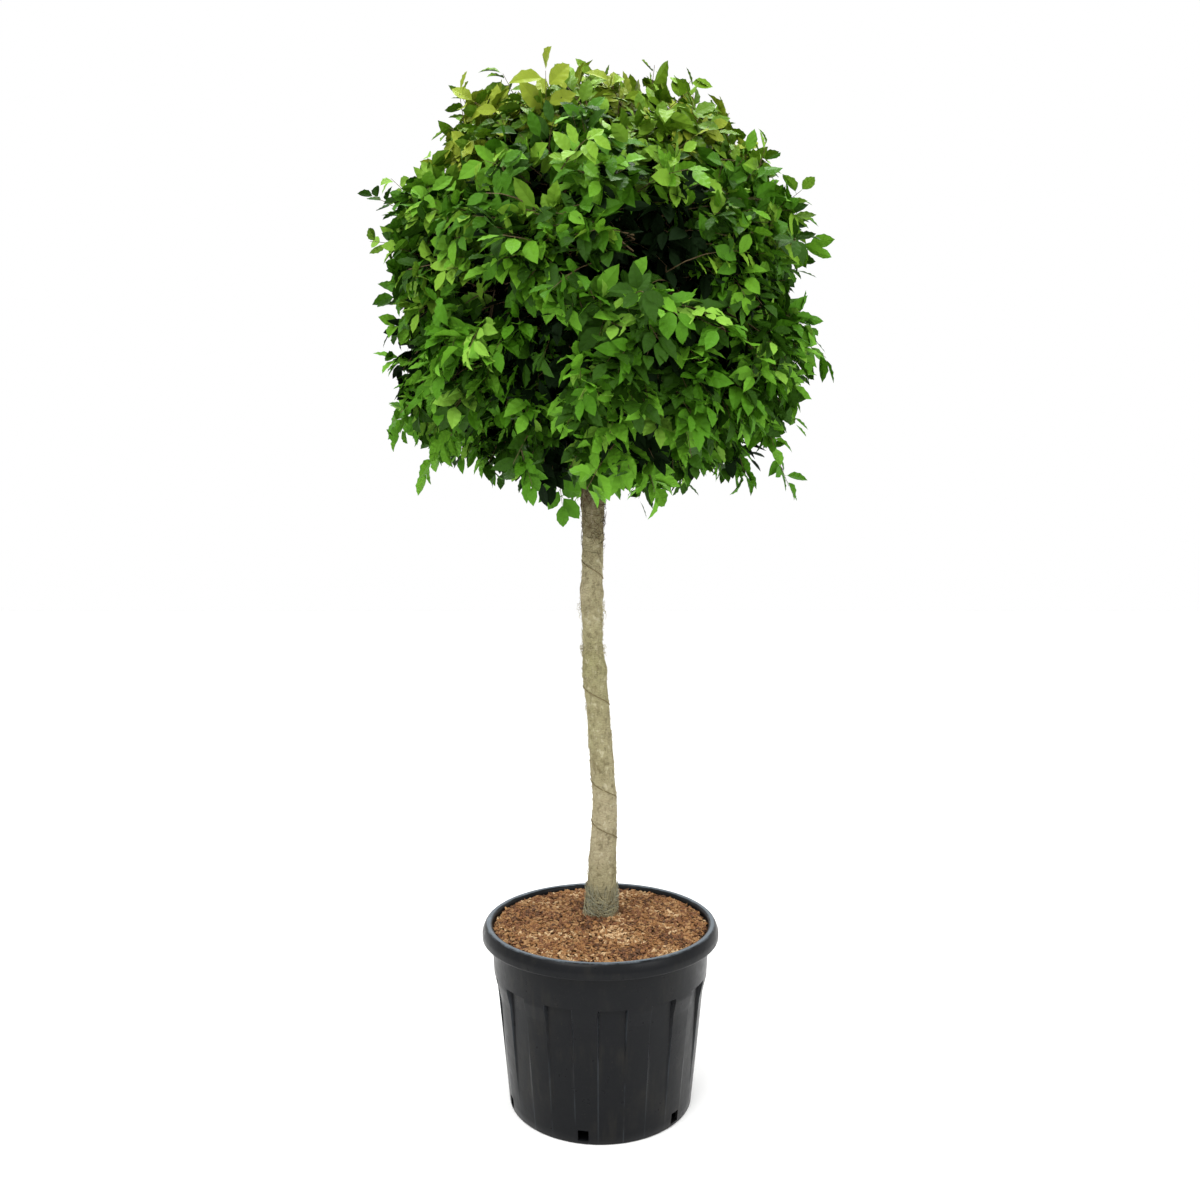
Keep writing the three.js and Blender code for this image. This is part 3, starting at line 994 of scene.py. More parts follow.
@dataclass
class Trunk:
    """The whole trunk, with furrowed bark where it shows above the wrap."""

    bare_from: float = 1.335
    sides: int = 44
    step: float = 0.006
    hidden_step: float = 0.05
    furrow: float = 0.0022
    under_wrap: float = 0.001
    foot_tuck: float = 0.013
    foot_height: float = 0.075

    def build(self) -> list[bpy.types.Object]:
        """Build the trunk.

        Returns:
            The trunk's piece.
        """
        low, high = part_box("trunk")
        foot = low.z + np.array([0.0, 0.02, 0.04])
        hidden = np.arange(low.z + 0.06, self.bare_from, self.hidden_step)
        bare = np.arange(self.bare_from, high.z - 0.001, self.step)
        heights = np.concatenate([foot, hidden, bare])
        mesh = swept_skin("trunk_bark", StemLine("trunk"), heights, self.sides, 0.0, self._relief)
        piece = link(mesh, "trunk_bark", Bark().material())
        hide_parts("trunk")
        return [piece]

    def _relief(self, bearing: float, height: float, place: Vector) -> float:
        """Furrows that run up the bark, none under the wrap, where the foot is drawn in.

        Args:
            bearing: Bearing round the trunk, which the furrows don't need.
            height: Height on the trunk.
            place: The place on its skin.

        Returns:
            The extra radius.
        """
        if height < self.bare_from:
            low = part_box("trunk")[0].z
            return -self.under_wrap - self.foot_tuck * max(0.0, 1 - (height - low) / self.foot_height) ** 1.2
        ridge = noise.noise(Vector((place.x * 150, place.y * 150, place.z * 28)))
        broad = noise.noise(Vector((place.x * 45, place.y * 45, place.z * 12 + 5)))
        return self.furrow * (ridge - abs(ridge) * 0.6) + self.furrow * 0.7 * broad


class FibreShade(Enum):
    """The shades of loose fibre, each with its colour."""

    PALE = "a89f7c"
    GREY = "9a9a84"
    DARK = "4e3e2a"


@dataclass(frozen=True)
class Fuzz:
    """A band of loose threads: how many lie between two heights, their length and how far they lift.

    A crowding below one gathers them towards the top of the band.
    """

    shade: FibreShade
    count: int
    bottom: float
    top: float
    length: float
    lift: float
    crowding: float = 1.0


@dataclass
class StemWrap:
    """Matted fibre wound round the stem, its slanting seams, its tie and its loose threads.

    Seams are given by their height on the front of the stem, and a tail of the tie by where it starts and
    how far it falls.
    """

    sides: int = 120
    step: float = 0.0035
    top_overlap: float = 0.012
    seam_depth: float = 0.0012
    seam_ridge: float = 0.007
    seam_groove: float = 0.0022
    frayed_from: float = 1.22
    hem_fibres: int = 560
    hem_spread: float = 0.012
    hem_height: float = 0.06
    hem_tuck: float = 0.0105
    seed: int = 17
    seams: tuple[float, ...] = (0.585, 0.675, 0.88, 1.155)
    seam_fall: float = 0.042
    knobs: tuple[Swelling, ...] = (
        Swelling(1.112, -75, 0.004, 0.017),
        Swelling(1.1, 75, 0.0035, 0.016),
        Swelling(0.938, 80, 0.003, 0.02),
        Swelling(1.3, -70, 0.0015, 0.02),
        Swelling(0.74, 85, 0.0015, 0.03),
    )
    tie_strands: int = 3
    tie_gap: float = 0.0035
    tie_tails: tuple[tuple[float, float], ...] = ((1.384, 0.04), (1.372, -0.016), (1.398, 0.052))
    tie_radius: float = 0.0019
    tie_finish: PlainFibre = PlainFibre("tie_twine", "3a3023")
    twine_radius: float = 0.0012
    twine_finish: PlainFibre = PlainFibre("seam_twine", "6f6447")
    thread_radii: tuple[float, ...] = (0.0005, 0.0005, 0.00045, 0.0004, 0.00015)
    line: StemLine = field(init=False)

    def build(self) -> list[bpy.types.Object]:
        """Build the wrap and everything on it.

        Returns:
            The wrap, the tie, the twine and the loose threads.
        """
        low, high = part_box("stem_wrap")
        self.line = StemLine("stem_wrap")
        heights = np.arange(low.z, high.z + self.top_overlap, self.step)
        mesh = swept_skin("stem_wrap_fibre", self.line, heights, self.sides, -0.001, self._relief, self.knobs)
        skin = link(mesh, "stem_wrap_fibre", WrapFibre().material())
        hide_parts("stem_wrap")
        return [skin, self._tie(), self._twine(), *self._threads()]

    def _relief(self, bearing: float, height: float, place: Vector) -> float:
        """The lumps of the mat, its wound edges, its rough top and the frayed hem at the foot.

        Args:
            bearing: Bearing round the stem, in radians.
            height: Height on the stem.
            place: The place on its skin.

        Returns:
            The extra radius.
        """
        lump = noise.noise(place * 38) * 0.0016 + noise.noise(place * 110) * 0.0007
        weave = noise.noise(Vector((place.x * 120, place.y * 120, place.z * 420))) * 0.0005
        turn = (bearing + math.pi / 2 + math.pi) % (2 * math.pi) - math.pi
        wound = 0.0
        for seam in self.seams:
            gap = height - (seam - self.seam_fall * turn / math.pi)
            wound += self.seam_depth * math.exp(-(((gap - 0.004) / self.seam_ridge) ** 2))
            wound -= self.seam_depth * math.exp(-((gap / self.seam_groove) ** 2))
        top = max(0.0, (height - self.frayed_from) / 0.13)
        rough = noise.noise(Vector((place.x * 90, place.y * 90, place.z * 30))) * 0.0022 * min(top, 1.0)
        foot = max(0.0, 1 - (height - self.line.heights[0]) / self.hem_height)
        ragged = noise.noise(Vector((place.x * 70, place.y * 70, place.z * 20)))
        frayed = -self.hem_tuck * foot**1.5 * (1 + 0.6 * ragged)
        return lump + weave + wound + rough + frayed

    def _polar(self, z: np.ndarray, angle: np.ndarray, reach: np.ndarray) -> np.ndarray:
        """Positions at some heights, bearings and distances from the stem's centre."""
        x, y = self.line.at(z)[0].T
        return np.column_stack([x + reach * np.cos(angle), y + reach * np.sin(angle), z])

    def _ring_path(
        self, height: float, fall: float, grow: float, turns: float, start: float, count: int
    ) -> np.ndarray:
        """Points of a thread laid round the stem.

        Args:
            height: Height where it starts.
            fall: How far it sinks over its length.
            grow: How far it stands off the wrap.
            turns: How many times it goes round.
            start: Bearing of its start, in radians.
            count: Number of points.

        Returns:
            The path's points.
        """
        t = np.linspace(0, 1, count)
        z = height - fall * t
        _, radii = self.line.at(z)
        return self._polar(z, start + t * turns * 2 * math.pi, radii + grow)

    def _hem(self, rng: np.random.Generator) -> list[np.ndarray]:
        """Frayed fibres that hang down the foot of the wrap and spread over the mulch.

        Args:
            rng: The threads' random numbers.

        Returns:
            One path of five points per fibre.
        """
        paths = []
        low = self.line.heights[0]
        for _ in range(self.hem_fibres):
            t = np.linspace(0, 1, 5)
            top = low + rng.uniform(0.004, 0.07)
            z = top + (low - 0.004 - top) * t * rng.uniform(0.5, 1.0) + rng.normal(0, 0.0008, 5)
            _, radii = self.line.at(z)
            turn = rng.uniform(0, 2 * math.pi) + rng.normal(0, 0.25) * t + rng.normal(0, 0.2) * t**2
            spread = self.hem_spread * rng.uniform(0, 1) ** 2.5 * np.clip(1 - (z - low) / 0.035, 0, 1) ** 1.5
            foot = np.clip(1 - (z - low) / self.hem_height, 0, 1)
            tuck = self.hem_tuck * foot**1.5 * rng.uniform(0.3, 1.15)
            paths.append(self._polar(z, turn, radii + 0.0002 + spread - tuck + rng.uniform(0, 0.0018)))
        return paths

    def _tie(self) -> bpy.types.Object:
        """Wind the dark twisted tie near the wrap's top.

        Returns:
            The tie's piece.
        """
        low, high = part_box("wrap_tie")
        middle = (low.z + high.z) / 2
        rng = np.random.default_rng(self.seed)
        count = 90
        wave = np.linspace(0, 2 * math.pi, count)
        paths = []
        for strand in range(self.tie_strands):
            height = middle + (strand - 1) * self.tie_gap
            path = self._ring_path(height, 0.0, 0.0012, 1.0, 0.6 * strand, count)
            path[:, 2] += 0.0014 * np.sin(wave * 5 + strand * 2.1) + 0.002 * np.sin(wave + strand)
            paths.append(path)
        for strand, (height, fall) in enumerate(self.tie_tails):
            path = self._ring_path(height, fall, -0.0015, 0.62, -2.9 + 0.5 * strand, count)
            path += rng.normal(0, 0.0002, path.shape)
            paths.append(path)
        points, faces = tubes(np.array(paths), np.full((len(paths), count), self.tie_radius), 8)
        mesh = mesh_from_arrays("wrap_tie_twine", points, faces)
        piece = link(mesh, "wrap_tie_twine", self.tie_finish.material())
        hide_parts("wrap_tie")
        return piece

    def _twine(self) -> bpy.types.Object:
        """Lay thin twine in the slanting seams.

        Returns:
            The twine's piece.
        """
        count = 60
        starts = [seam + self.seam_fall * 0.5 - 0.001 for seam in self.seams]
        paths = [self._ring_path(start, self.seam_fall, 0.0004, 0.5, -math.pi, count) for start in starts]
        points, faces = tubes(np.array(paths), np.full((len(paths), count), self.twine_radius), 6)
        mesh = mesh_from_arrays("seam_twine", points, faces)
        piece = link(mesh, "seam_twine", self.twine_finish.material())
        return piece

    def _fuzz(self) -> list[Fuzz]:
        """List the bands of loose threads: all over, at the foot, at two knots and at the top.

        Returns:
            The bands, in the order in which they are laid.
        """
        low, high = self.line.heights[0], self.line.heights[-1]
        return [
            Fuzz(FibreShade.PALE, 900, low + 0.02, high - 0.12, 0.012, 0.0016),
            Fuzz(FibreShade.GREY, 160, low + 0.004, low + 0.05, 0.03, 0.0035),
            Fuzz(FibreShade.DARK, 60, low + 0.002, low + 0.04, 0.026, 0.003),
            Fuzz(FibreShade.PALE, 260, low + 0.002, low + 0.06, 0.03, 0.003),
            Fuzz(FibreShade.PALE, 60, 1.055, 1.085, 0.018, 0.006),
            Fuzz(FibreShade.PALE, 50, 0.968, 0.992, 0.018, 0.006),
            Fuzz(FibreShade.DARK, 300, 1.16, high + 0.012, 0.024, 0.003, crowding=0.5),
        ]

    def _band(self, fuzz: Fuzz, rng: np.random.Generator) -> list[np.ndarray]:
        """Lay the threads of one band.

        Args:
            fuzz: The band.
            rng: The threads' random numbers.

        Returns:
            One path of five points per thread.
        """
        z = fuzz.bottom + (fuzz.top - fuzz.bottom) * rng.uniform(0, 1, fuzz.count) ** fuzz.crowding
        angle = rng.uniform(0, 2 * math.pi, fuzz.count)
        slope = rng.normal(0, 0.9, fuzz.count)
        size = fuzz.length * rng.uniform(0.4, 1.3, fuzz.count)
        rise = fuzz.lift * rng.uniform(0.2, 1.6, fuzz.count)
        t = np.linspace(0, 1, 5)
        paths = []
        for k in range(fuzz.count):
            height = z[k] + size[k] * t * math.sin(slope[k]) + rng.normal(0, 0.0006, 5)
            _, radii = self.line.at(height)
            turn = angle[k] + size[k] * t * math.cos(slope[k]) / radii
            paths.append(self._polar(height, turn, radii - 0.0004 + rise[k] * np.sin(t * 2.4)))
        return paths

    def _threads(self) -> list[bpy.types.Object]:
        """Loose fibres: short fuzz all over, tangles, and the frayed foot and top.

        Returns:
            One piece for each shade.
        """
        rng = np.random.default_rng(self.seed + 1)
        hem = self._hem(rng)
        paths = {
            FibreShade.PALE: hem[::4],
            FibreShade.GREY: hem[1::4] + hem[2::4],
            FibreShade.DARK: hem[3::4],
        }
        for fuzz in self._fuzz():
            paths[fuzz.shade].extend(self._band(fuzz, rng))
        pieces = []
        for shade in FibreShade:
            rows = np.array(paths[shade])
            points, faces = tubes(rows, np.tile(np.array(self.thread_radii), (len(rows), 1)), 3)
            name = f"loose_fibre_{shade.name.lower()}"
            finish = PlainFibre(name, shade.value)
            piece = link(mesh_from_arrays(name, points, faces), name, finish.material())
            pieces.append(piece)
        return pieces


# ---------------------------------------------------------------------------------------------
# The crown
# ---------------------------------------------------------------------------------------------


@dataclass
class LeafShape:
    """An oval, long-pointed leaf with a toothed edge, pleated along its side veins."""

    rows: int = 9
    half_width: float = 0.27
    widest: float = 0.36
    point: float = 1.34
    tooth: float = 0.05
    pleat: float = 0.015
    slant: float = 0.12
    fold: float = 0.24
    curl: float = 0.22
    stalk: float = 0.13
    stalk_half: float = 0.012
    least_half: float = 0.004

    def arrays(self) -> tuple[np.ndarray, np.ndarray, np.ndarray]:
        """Build one leaf with a blade a unit long, its foot at the origin and its tip on +Y.

        Returns:
            Corners, faces and the two blade coordinates of each corner.
        """
        bm = bmesh.new()
        bmesh.ops.create_grid(bm, x_segments=2, y_segments=self.rows, size=1.0)
        levels = sorted({round(v.co.y, 4) for v in bm.verts})
        base = self.point * self.widest / (1 - self.widest)
        peak = self.widest**base * (1 - self.widest) ** self.point
        uv = {}
        for vert in bm.verts:
            side = 0 if abs(vert.co.x) < 0.3 else math.copysign(1, vert.co.x)
            row = levels.index(round(vert.co.y, 4))
            if row == 0:
                vert.co = Vector((side * self.stalk_half, -self.stalk, 0.0))
                uv[vert.index] = (0.5 + side * 0.02, 0.0)
                continue
            t = (row - 1) / (len(levels) - 2)
            swing = 1 if row % 2 else -1
            outline = t**base * max(1 - t, 0.0) ** self.point / peak
            width = self.half_width * outline * (1 + self.tooth * swing) + self.least_half
            y = min(t + self.slant * math.sin(math.pi * t) * abs(side), 1.0)
            pleat = self.pleat * swing * math.sin(math.pi * min(t * 1.05, 1))
            vert.co = Vector((side * width, y, abs(side) * (self.fold * width + pleat) - self.curl * y * y))
            uv[vert.index] = (0.5 + side * 0.5, t)
        bm.verts.index_update()
        coordinates = np.array([uv[i] for i in range(len(bm.verts))])
        points, faces = shape_arrays(bm)
        return points, faces, coordinates


@dataclass(frozen=True)
class Mass:
    """One packed foliage mass: its layer and its skin."""

    name: str
    tier: Tier
    triangles: np.ndarray
    tree: BVHTree

    @classmethod
    def read(cls, name: str) -> "Mass":
        """Read a mass from the frame.

        Args:
            name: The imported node's name.

        Returns:
            The mass.
        """
        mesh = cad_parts[name].data
        rows = np.zeros(len(mesh.vertices) * 3)
        mesh.vertices.foreach_get("co", rows)
        rows = rows.reshape(-1, 3)
        mesh.calc_loop_triangles()
        corners = np.zeros(len(mesh.loop_triangles) * 3, dtype=np.int32)
        mesh.loop_triangles.foreach_get("vertices", corners)
        corners = corners.reshape(-1, 3)
        tree = BVHTree.FromPolygons([tuple(r) for r in rows], [tuple(int(c) for c in t) for t in corners])
        return cls(name, Tier(name.split("_")[1]), rows[corners], tree)

    @property
    def crossed(self) -> np.ndarray:
        """Each triangle's way out, twice its area long."""
        a, b, c = (self.triangles[:, k] for k in range(3))
        return np.cross(b - a, c - a)

    @property
    def areas(self) -> np.ndarray:
        """The area of each triangle."""
        return np.linalg.norm(self.crossed, axis=1) / 2

    @property
    def middle(self) -> np.ndarray:
        """The middle of the mass's box."""
        rows = self.triangles.reshape(-1, 3)
        return (rows.min(0) + rows.max(0)) / 2


@dataclass
class Sprays:
    """Leafy side shoots: base, bend, tip and way out of each, its mass, and whether it lies in the shade."""

    base: np.ndarray
    bend: np.ndarray
    tip: np.ndarray
    out: np.ndarray
    mass: np.ndarray
    inner: np.ndarray


@dataclass
class Leaves:
    """Every leaf of the crown, by spray and order on it: place, turn, length and number of its shape.

    A leaf that would stand out too far has the shape number -1 and is left out.
    """

    place: np.ndarray
    turn: np.ndarray
    length: np.ndarray
    shape: np.ndarray


@dataclass(frozen=True)
class Patch:
    """A soft round patch of the crown: bearing and elevation in degrees, amount at its middle, spread.

    In a trim the amount is how many metres deeper the shears went, or less where it is below nought. In an
    opening it is the share of the sprays that are missing.
    """

    bearing: float
    elevation: float
    amount: float
    spread: float

    def at(self, radial: np.ndarray) -> np.ndarray:
        """The patch's amount in some directions.

        Args:
            radial: Unit directions from the crown's centre.

        Returns:
            One amount per direction.
        """
        turn, lift = math.radians(self.bearing), math.radians(self.elevation)
        aim = np.array([math.cos(turn) * math.cos(lift), math.sin(turn) * math.cos(lift), math.sin(lift)])
        off = np.degrees(np.arccos(np.clip(radial @ aim, -1, 1)))
        return self.amount * np.exp(-((off / self.spread) ** 2))


@dataclass
class Crown:
    """The clipped ball: boughs, their branches, and sprays of leaves grown from them by seeded rules.

    Lengths are in metres and densities in sprays per square metre. A spray's tip is sunk below the packed
    skin by a depth that the lumps, trims, gaps and openings change from place to place. Inner sprays lie
    deeper and carry plain dark leaves, near black: painted shade in the crown's hollows.
    """

    seed: int = 2031
    outer_density: float = 980.0
    inner_density: float = 300.0
    outer_facing: float = 0.25
    inner_facing: float = -0.2
    spacing: float = 0.018
    inner_spacing: float = 1.4
    sink: float = 0.026
    lump: float = 0.05
    lump_size: float = 0.085
    pocket_size: float = 0.075
    pocket_levels: dict[Tier, float] = field(
        default_factory=lambda: {Tier.LOWER: -0.1, Tier.MIDDLE: -0.09, Tier.UPPER: -0.1, Tier.CREST: -0.14}
    )
    trims: tuple[Patch, ...] = (
        Patch(180, -60, 0.05, 14),
        Patch(222, -57, 0.085, 16),
        Patch(140, -57, 0.085, 16),
        Patch(236, -61, -0.14, 8),
        Patch(289, -67, 0.025, 8),
        Patch(178, -36, 0.03, 8),
        Patch(180, -26, -0.03, 6),
        Patch(0, -58, 0.05, 14),
        Patch(325, -55, 0.06, 15),
        Patch(35, -55, 0.06, 15),
        Patch(313, -63, -0.12, 8),
        Patch(340, -37, 0.05, 10),
        Patch(15, -37, 0.045, 9),
        Patch(0, -48, -0.08, 9),
        Patch(269, -65, 0.06, 7),
        Patch(180, 5, 0.02, 9),
        Patch(200, -1, 0.035, 9),
        Patch(184, -12, -0.05, 7),
        Patch(0, 2, 0.048, 14),
        Patch(337, 0, 0.055, 11),
        Patch(0, -22, 0.03, 12),
        Patch(180, 44, -0.062, 13),
        Patch(0, 54, -0.065, 12),
        Patch(10, 72, -0.05, 20),
        Patch(185, 80, -0.07, 13),
        Patch(235, 54, 0.02, 8),
    )
    openings: tuple[Patch, ...] = (
        Patch(286, -3, 0.9, 12),
        Patch(300, -4, 0.8, 9),
        Patch(272, 4, 0.7, 8),
        Patch(254, 21, 0.8, 9),
        Patch(333, -3, 0.8, 8),
        Patch(283, 48, 0.7, 8),
        Patch(245, 55, 0.7, 7),
        Patch(237, -7, 0.7, 8),
        Patch(255, -36, 0.7, 7),
        Patch(300, 24, 0.6, 7),
        Patch(98, 10, 0.9, 14),
        Patch(60, -12, 0.7, 9),
        Patch(140, 24, 0.8, 9),
        Patch(10, 22, 0.7, 8),
        Patch(185, -20, 0.7, 8),
        Patch(120, -34, 0.7, 8),
    )
    opening_depth: float = 0.045
    opening_thinning: float = 0.95
    pocket_soft: float = 0.16
    pocket_least: float = 0.04
    gap_share: float = 0.3
    gap_sink: float = 0.02
    crest_sink: float = 0.036
    hem_sink: float = 0.022
    inner_depth: float = 0.085
    spray_length: float = 0.15
    sweep: float = 1.3
    leaves: int = 9
    leaf_from: float = 0.36
    leaf_length: float = 0.0435
    leaf_spread: float = 0.85
    leaf_roll: float = 0.36
    spray_roll: float = 0.34
    shade_growth: float = 1.05
    gap_reach: float = 0.03
    # How far sprays that face up lean to the lighter greens: painted light from above.
    painted_sunlight: float = 0.32
    branches: int = 12
    bough_girth: float = 0.0085
    upper_girth: float = 0.0065
    leader_girth: float = 0.006
    branch_tip: float = 0.0018
    twig_radius: float = 0.0011
    proud: float = 0.03
    shoot_room: float = 0.012
    shoots: int = 90
    shoot_reach: tuple[float, float] = (0.012, 0.045)
    shoot_follow: float = 1.2
    palettes: dict[Tier, tuple[LeafFinish, ...]] = field(
        default_factory=lambda: {
            Tier.LOWER: (
                LeafFinish("leaf_lower_deep", "28480b", 0.34),
                LeafFinish("leaf_lower_mid", "437314", 0.3),
                LeafFinish("leaf_lower_bright", "5f9326", 0.24),
                LeafFinish("leaf_lower_pale", "76a238", 0.12),
            ),
            Tier.MIDDLE: (
                LeafFinish("leaf_middle_deep", "26450b", 0.3),
                LeafFinish("leaf_middle_mid", "3a6511", 0.34),
                LeafFinish("leaf_middle_bright", "54821c", 0.22),
                LeafFinish("leaf_middle_pale", "688e28", 0.14),
            ),
            Tier.UPPER: (
                LeafFinish("leaf_upper_deep", "38580e", 0.28),
                LeafFinish("leaf_upper_mid", "4e6e15", 0.38),
                LeafFinish("leaf_upper_bright", "60821c", 0.24),
                LeafFinish("leaf_upper_olive", "788826", 0.1),
            ),
            # The crest's greens are lighter and yellower: partly painted light glowing through the top
            # leaves, partly olive young growth.
            Tier.CREST: (
                LeafFinish("leaf_crest_mid", "587615", 0.42),
                LeafFinish("leaf_crest_bright", "6c861e", 0.38),
                LeafFinish("leaf_crest_olive", "748426", 0.2),
            ),
        }
    )
    # Near-black inner leaves: painted shade in the crown's hollows.
    painted_shade_finish: LeafFinish = LeafFinish("leaf_painted_shade", "0c1d06", 1.0, 0.7, 0.08)
    shapes: tuple[LeafShape, ...] = (
        LeafShape(),
        LeafShape(fold=0.4, curl=0.34),
        LeafShape(fold=0.12, curl=0.1),
        LeafShape(half_width=0.235, curl=-0.04, fold=0.32),
    )
    plain_shapes: tuple[LeafShape, ...] = (
        LeafShape(rows=5, tooth=0.0, pleat=0.0),
        LeafShape(rows=5, tooth=0.0, pleat=0.0, fold=0.4, curl=0.34),
        LeafShape(rows=5, tooth=0.0, pleat=0.0, fold=0.12, curl=0.1),
        LeafShape(rows=5, tooth=0.0, pleat=0.0, half_width=0.235, curl=-0.04, fold=0.32),
    )
    bark: Bark = Bark("3a2f22", "6d6048", "7d775c")
    rng: np.random.Generator = field(init=False)
    masses: list[Mass] = field(init=False)
    centre: np.ndarray = field(init=False)
    skin_area: float = field(init=False)
    sprays: Sprays = field(init=False)

    def build(self) -> list[bpy.types.Object]:
        """Grow the crown.

        Returns:
            Its boughs, twigs and leaf pieces.
        """
        self.rng = np.random.default_rng(self.seed)
        names = sorted(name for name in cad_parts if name.startswith("foliage_"))
        self.masses = [Mass.read(name) for name in names]
        corners = np.vstack([mass.triangles.reshape(-1, 3) for mass in self.masses])
        self.centre = (corners.min(0) + corners.max(0)) / 2
        self.skin_area = sum(mass.areas.sum() for mass in self.masses)
        self.sprays = self._place_sprays()
        LOG.info("crown: %d sprays", len(self.sprays.base))
        return [*self._limbs(), *self._foliage()]

    # -- where the sprays end ----------------------------------------------------------------

    def _places(self, mass: Mass, inner: bool) -> tuple[np.ndarray, np.ndarray, np.ndarray]:
        """Spread places evenly over the side of a mass's skin that faces out of the crown.

        Args:
            mass: The mass.
            inner: Whether they are for the sprays in the shade.

        Returns:
            The places, the spray's way out at each and the crown's way out at each.
        """
        a, b, c = (mass.triangles[:, k] for k in range(3))
        area = mass.areas
        density = self.inner_density if inner else self.outer_density
        wanted = int(area.sum() * density * 3)
        chosen = self.rng.choice(len(area), wanted, p=area / area.sum())
        u, v = self.rng.uniform(0, 1, (2, wanted))
        flip = u + v > 1
        u, v = np.where(flip, 1 - u, u), np.where(flip, 1 - v, v)
        place = a[chosen] + u[:, None] * (b - a)[chosen] + v[:, None] * (c - a)[chosen]
        normal = unit(mass.crossed[chosen])
        radial = unit(place - self.centre)
        facing = np.einsum("ij,ij->i", normal, radial)
        keep = np.flatnonzero(facing > (self.inner_facing if inner else self.outer_facing))
        space = self.spacing * self.inner_spacing if inner else self.spacing
        keep = keep[self._thin(place[keep], space, int(area.sum() * density))]
        return place[keep], unit(normal[keep] * 0.4 + radial[keep] * 0.6), radial[keep]

    def _sunk(self, radial: np.ndarray) -> np.ndarray:
        """How much deeper the tips lie towards the crest and the hem."""
        return np.where(radial[:, 2] > 0, self.crest_sink, self.hem_sink) * np.abs(radial[:, 2])

    def _noise(self, place: np.ndarray, size: float, shift: tuple[float, float, float]) -> np.ndarray:
        """A smooth random value at each place, in lumps of a size."""
        return np.array([noise.noise(Vector(p / size) + Vector(shift)) for p in place])

    def _skin_sprays(self, number: int) -> tuple[np.ndarray, np.ndarray]:
        """Place the tips of the sprays on one mass's skin, fewer in its pockets, gaps and openings.

        Args:
            number: The mass's place in the list.

        Returns:
            The tips and the way out at each.
        """
        rng, mass = self.rng, self.masses[number]
        place, out, radial = self._places(mass, inner=False)
        cut = sum(trim.at(radial) for trim in self.trims)
        depth = self.sink - self.lump * self._noise(place, self.lump_size, (7, 3, 1)) + cut
        depth = depth + self._sunk(radial)
        near = np.clip(self._gap(number, place) / self.gap_reach, 0, 1)
        pockets = self._noise(place, self.pocket_size, (31, 17, 5)) - self.pocket_levels[mass.tier]
        bare = np.clip(sum(opening.at(radial) for opening in self.openings), 0, 1)
        dense = np.clip(pockets / self.pocket_soft, self.pocket_least, 1)
        dense = dense * (self.gap_share + (1 - self.gap_share) * near) * (1 - self.opening_thinning * bare)
        keep = rng.uniform(0, 1, len(place)) < dense
        depth = depth + self.gap_sink * (1 - near) + self.opening_depth * bare
        place, out, depth, cut, shut = place[keep], out[keep], depth[keep], cut[keep], 1 - bare[keep]
        wanted = min(len(place), int(self.shoots * mass.areas.sum() / self.skin_area))
        long_ones = rng.choice(len(place), wanted, replace=False, p=shut / shut.sum())
        reach = rng.uniform(*self.shoot_reach, len(long_ones))
        reach = reach * (1 - 1.3 * np.clip(out[long_ones, 2], 0, 1))
        depth[long_ones] = cut[long_ones] * self.shoot_follow - reach
        return place - out * depth[:, None], out

    def _shade_sprays(self, number: int) -> tuple[np.ndarray, np.ndarray]:
        """Place the tips of the sprays that lie in the shade behind one mass's skin.

        Args:
            number: The mass's place in the list.

        Returns:
            The tips and the way out at each.
        """
        place, out, radial = self._places(self.masses[number], inner=True)
        depth = self.inner_depth * self.rng.uniform(0.7, 1.3, len(place))
        depth = depth + sum(trim.at(radial) for trim in self.trims) + self._sunk(radial)
        return place - out * depth[:, None], out

    def _place_sprays(self) -> Sprays:
        """Spread the spray tips over the skins of the masses and grow each spray back into its mass.

        Returns:
            All the sprays of the crown.
        """
        rng = self.rng
        tips, outs, owners, shaded = [], [], [], []
        for number in range(len(self.masses)):
            for inner, placed in ((False, self._skin_sprays), (True, self._shade_sprays)):
                tip, out = placed(number)
                tips.append(tip)
                outs.append(out)
                owners.append(np.full(len(tip), number))
                shaded.append(np.full(len(tip), inner))
        low, high = (np.array(corner) for corner in PACKED_BOX)
        tip, out = np.clip(np.vstack(tips), low - self.shoot_room, high + self.shoot_room), np.vstack(outs)
        length = self.spray_length * rng.uniform(0.75, 1.2, (len(tip), 1))
        rise = out[:, 2:3]
        lateral = unit(np.cross(out, UP) + rng.normal(0, 0.15, out.shape))
        sweep = lateral * rng.uniform(-1, 1, (len(tip), 1)) * self.sweep * (1 - 0.5 * np.abs(rise))
        back = unit(out + sweep) * length * np.where(rise < -0.3, 0.75, 1.0)
        base = tip - back + rng.normal(0, 0.012, tip.shape)
        base[:, 2:3] += np.where(rise < -0.2, 0.03, 0.0) - np.where(rise > 0.4, 0.02, 0.0)
        arch = UP * (0.024 * (1 - np.clip(rise, -0.2, 1)))
        bend = tip * 0.5 + base * 0.5 + arch + rng.normal(0, 0.009, tip.shape)
        return Sprays(base, bend, tip, out, np.concatenate(owners), np.concatenate(shaded))

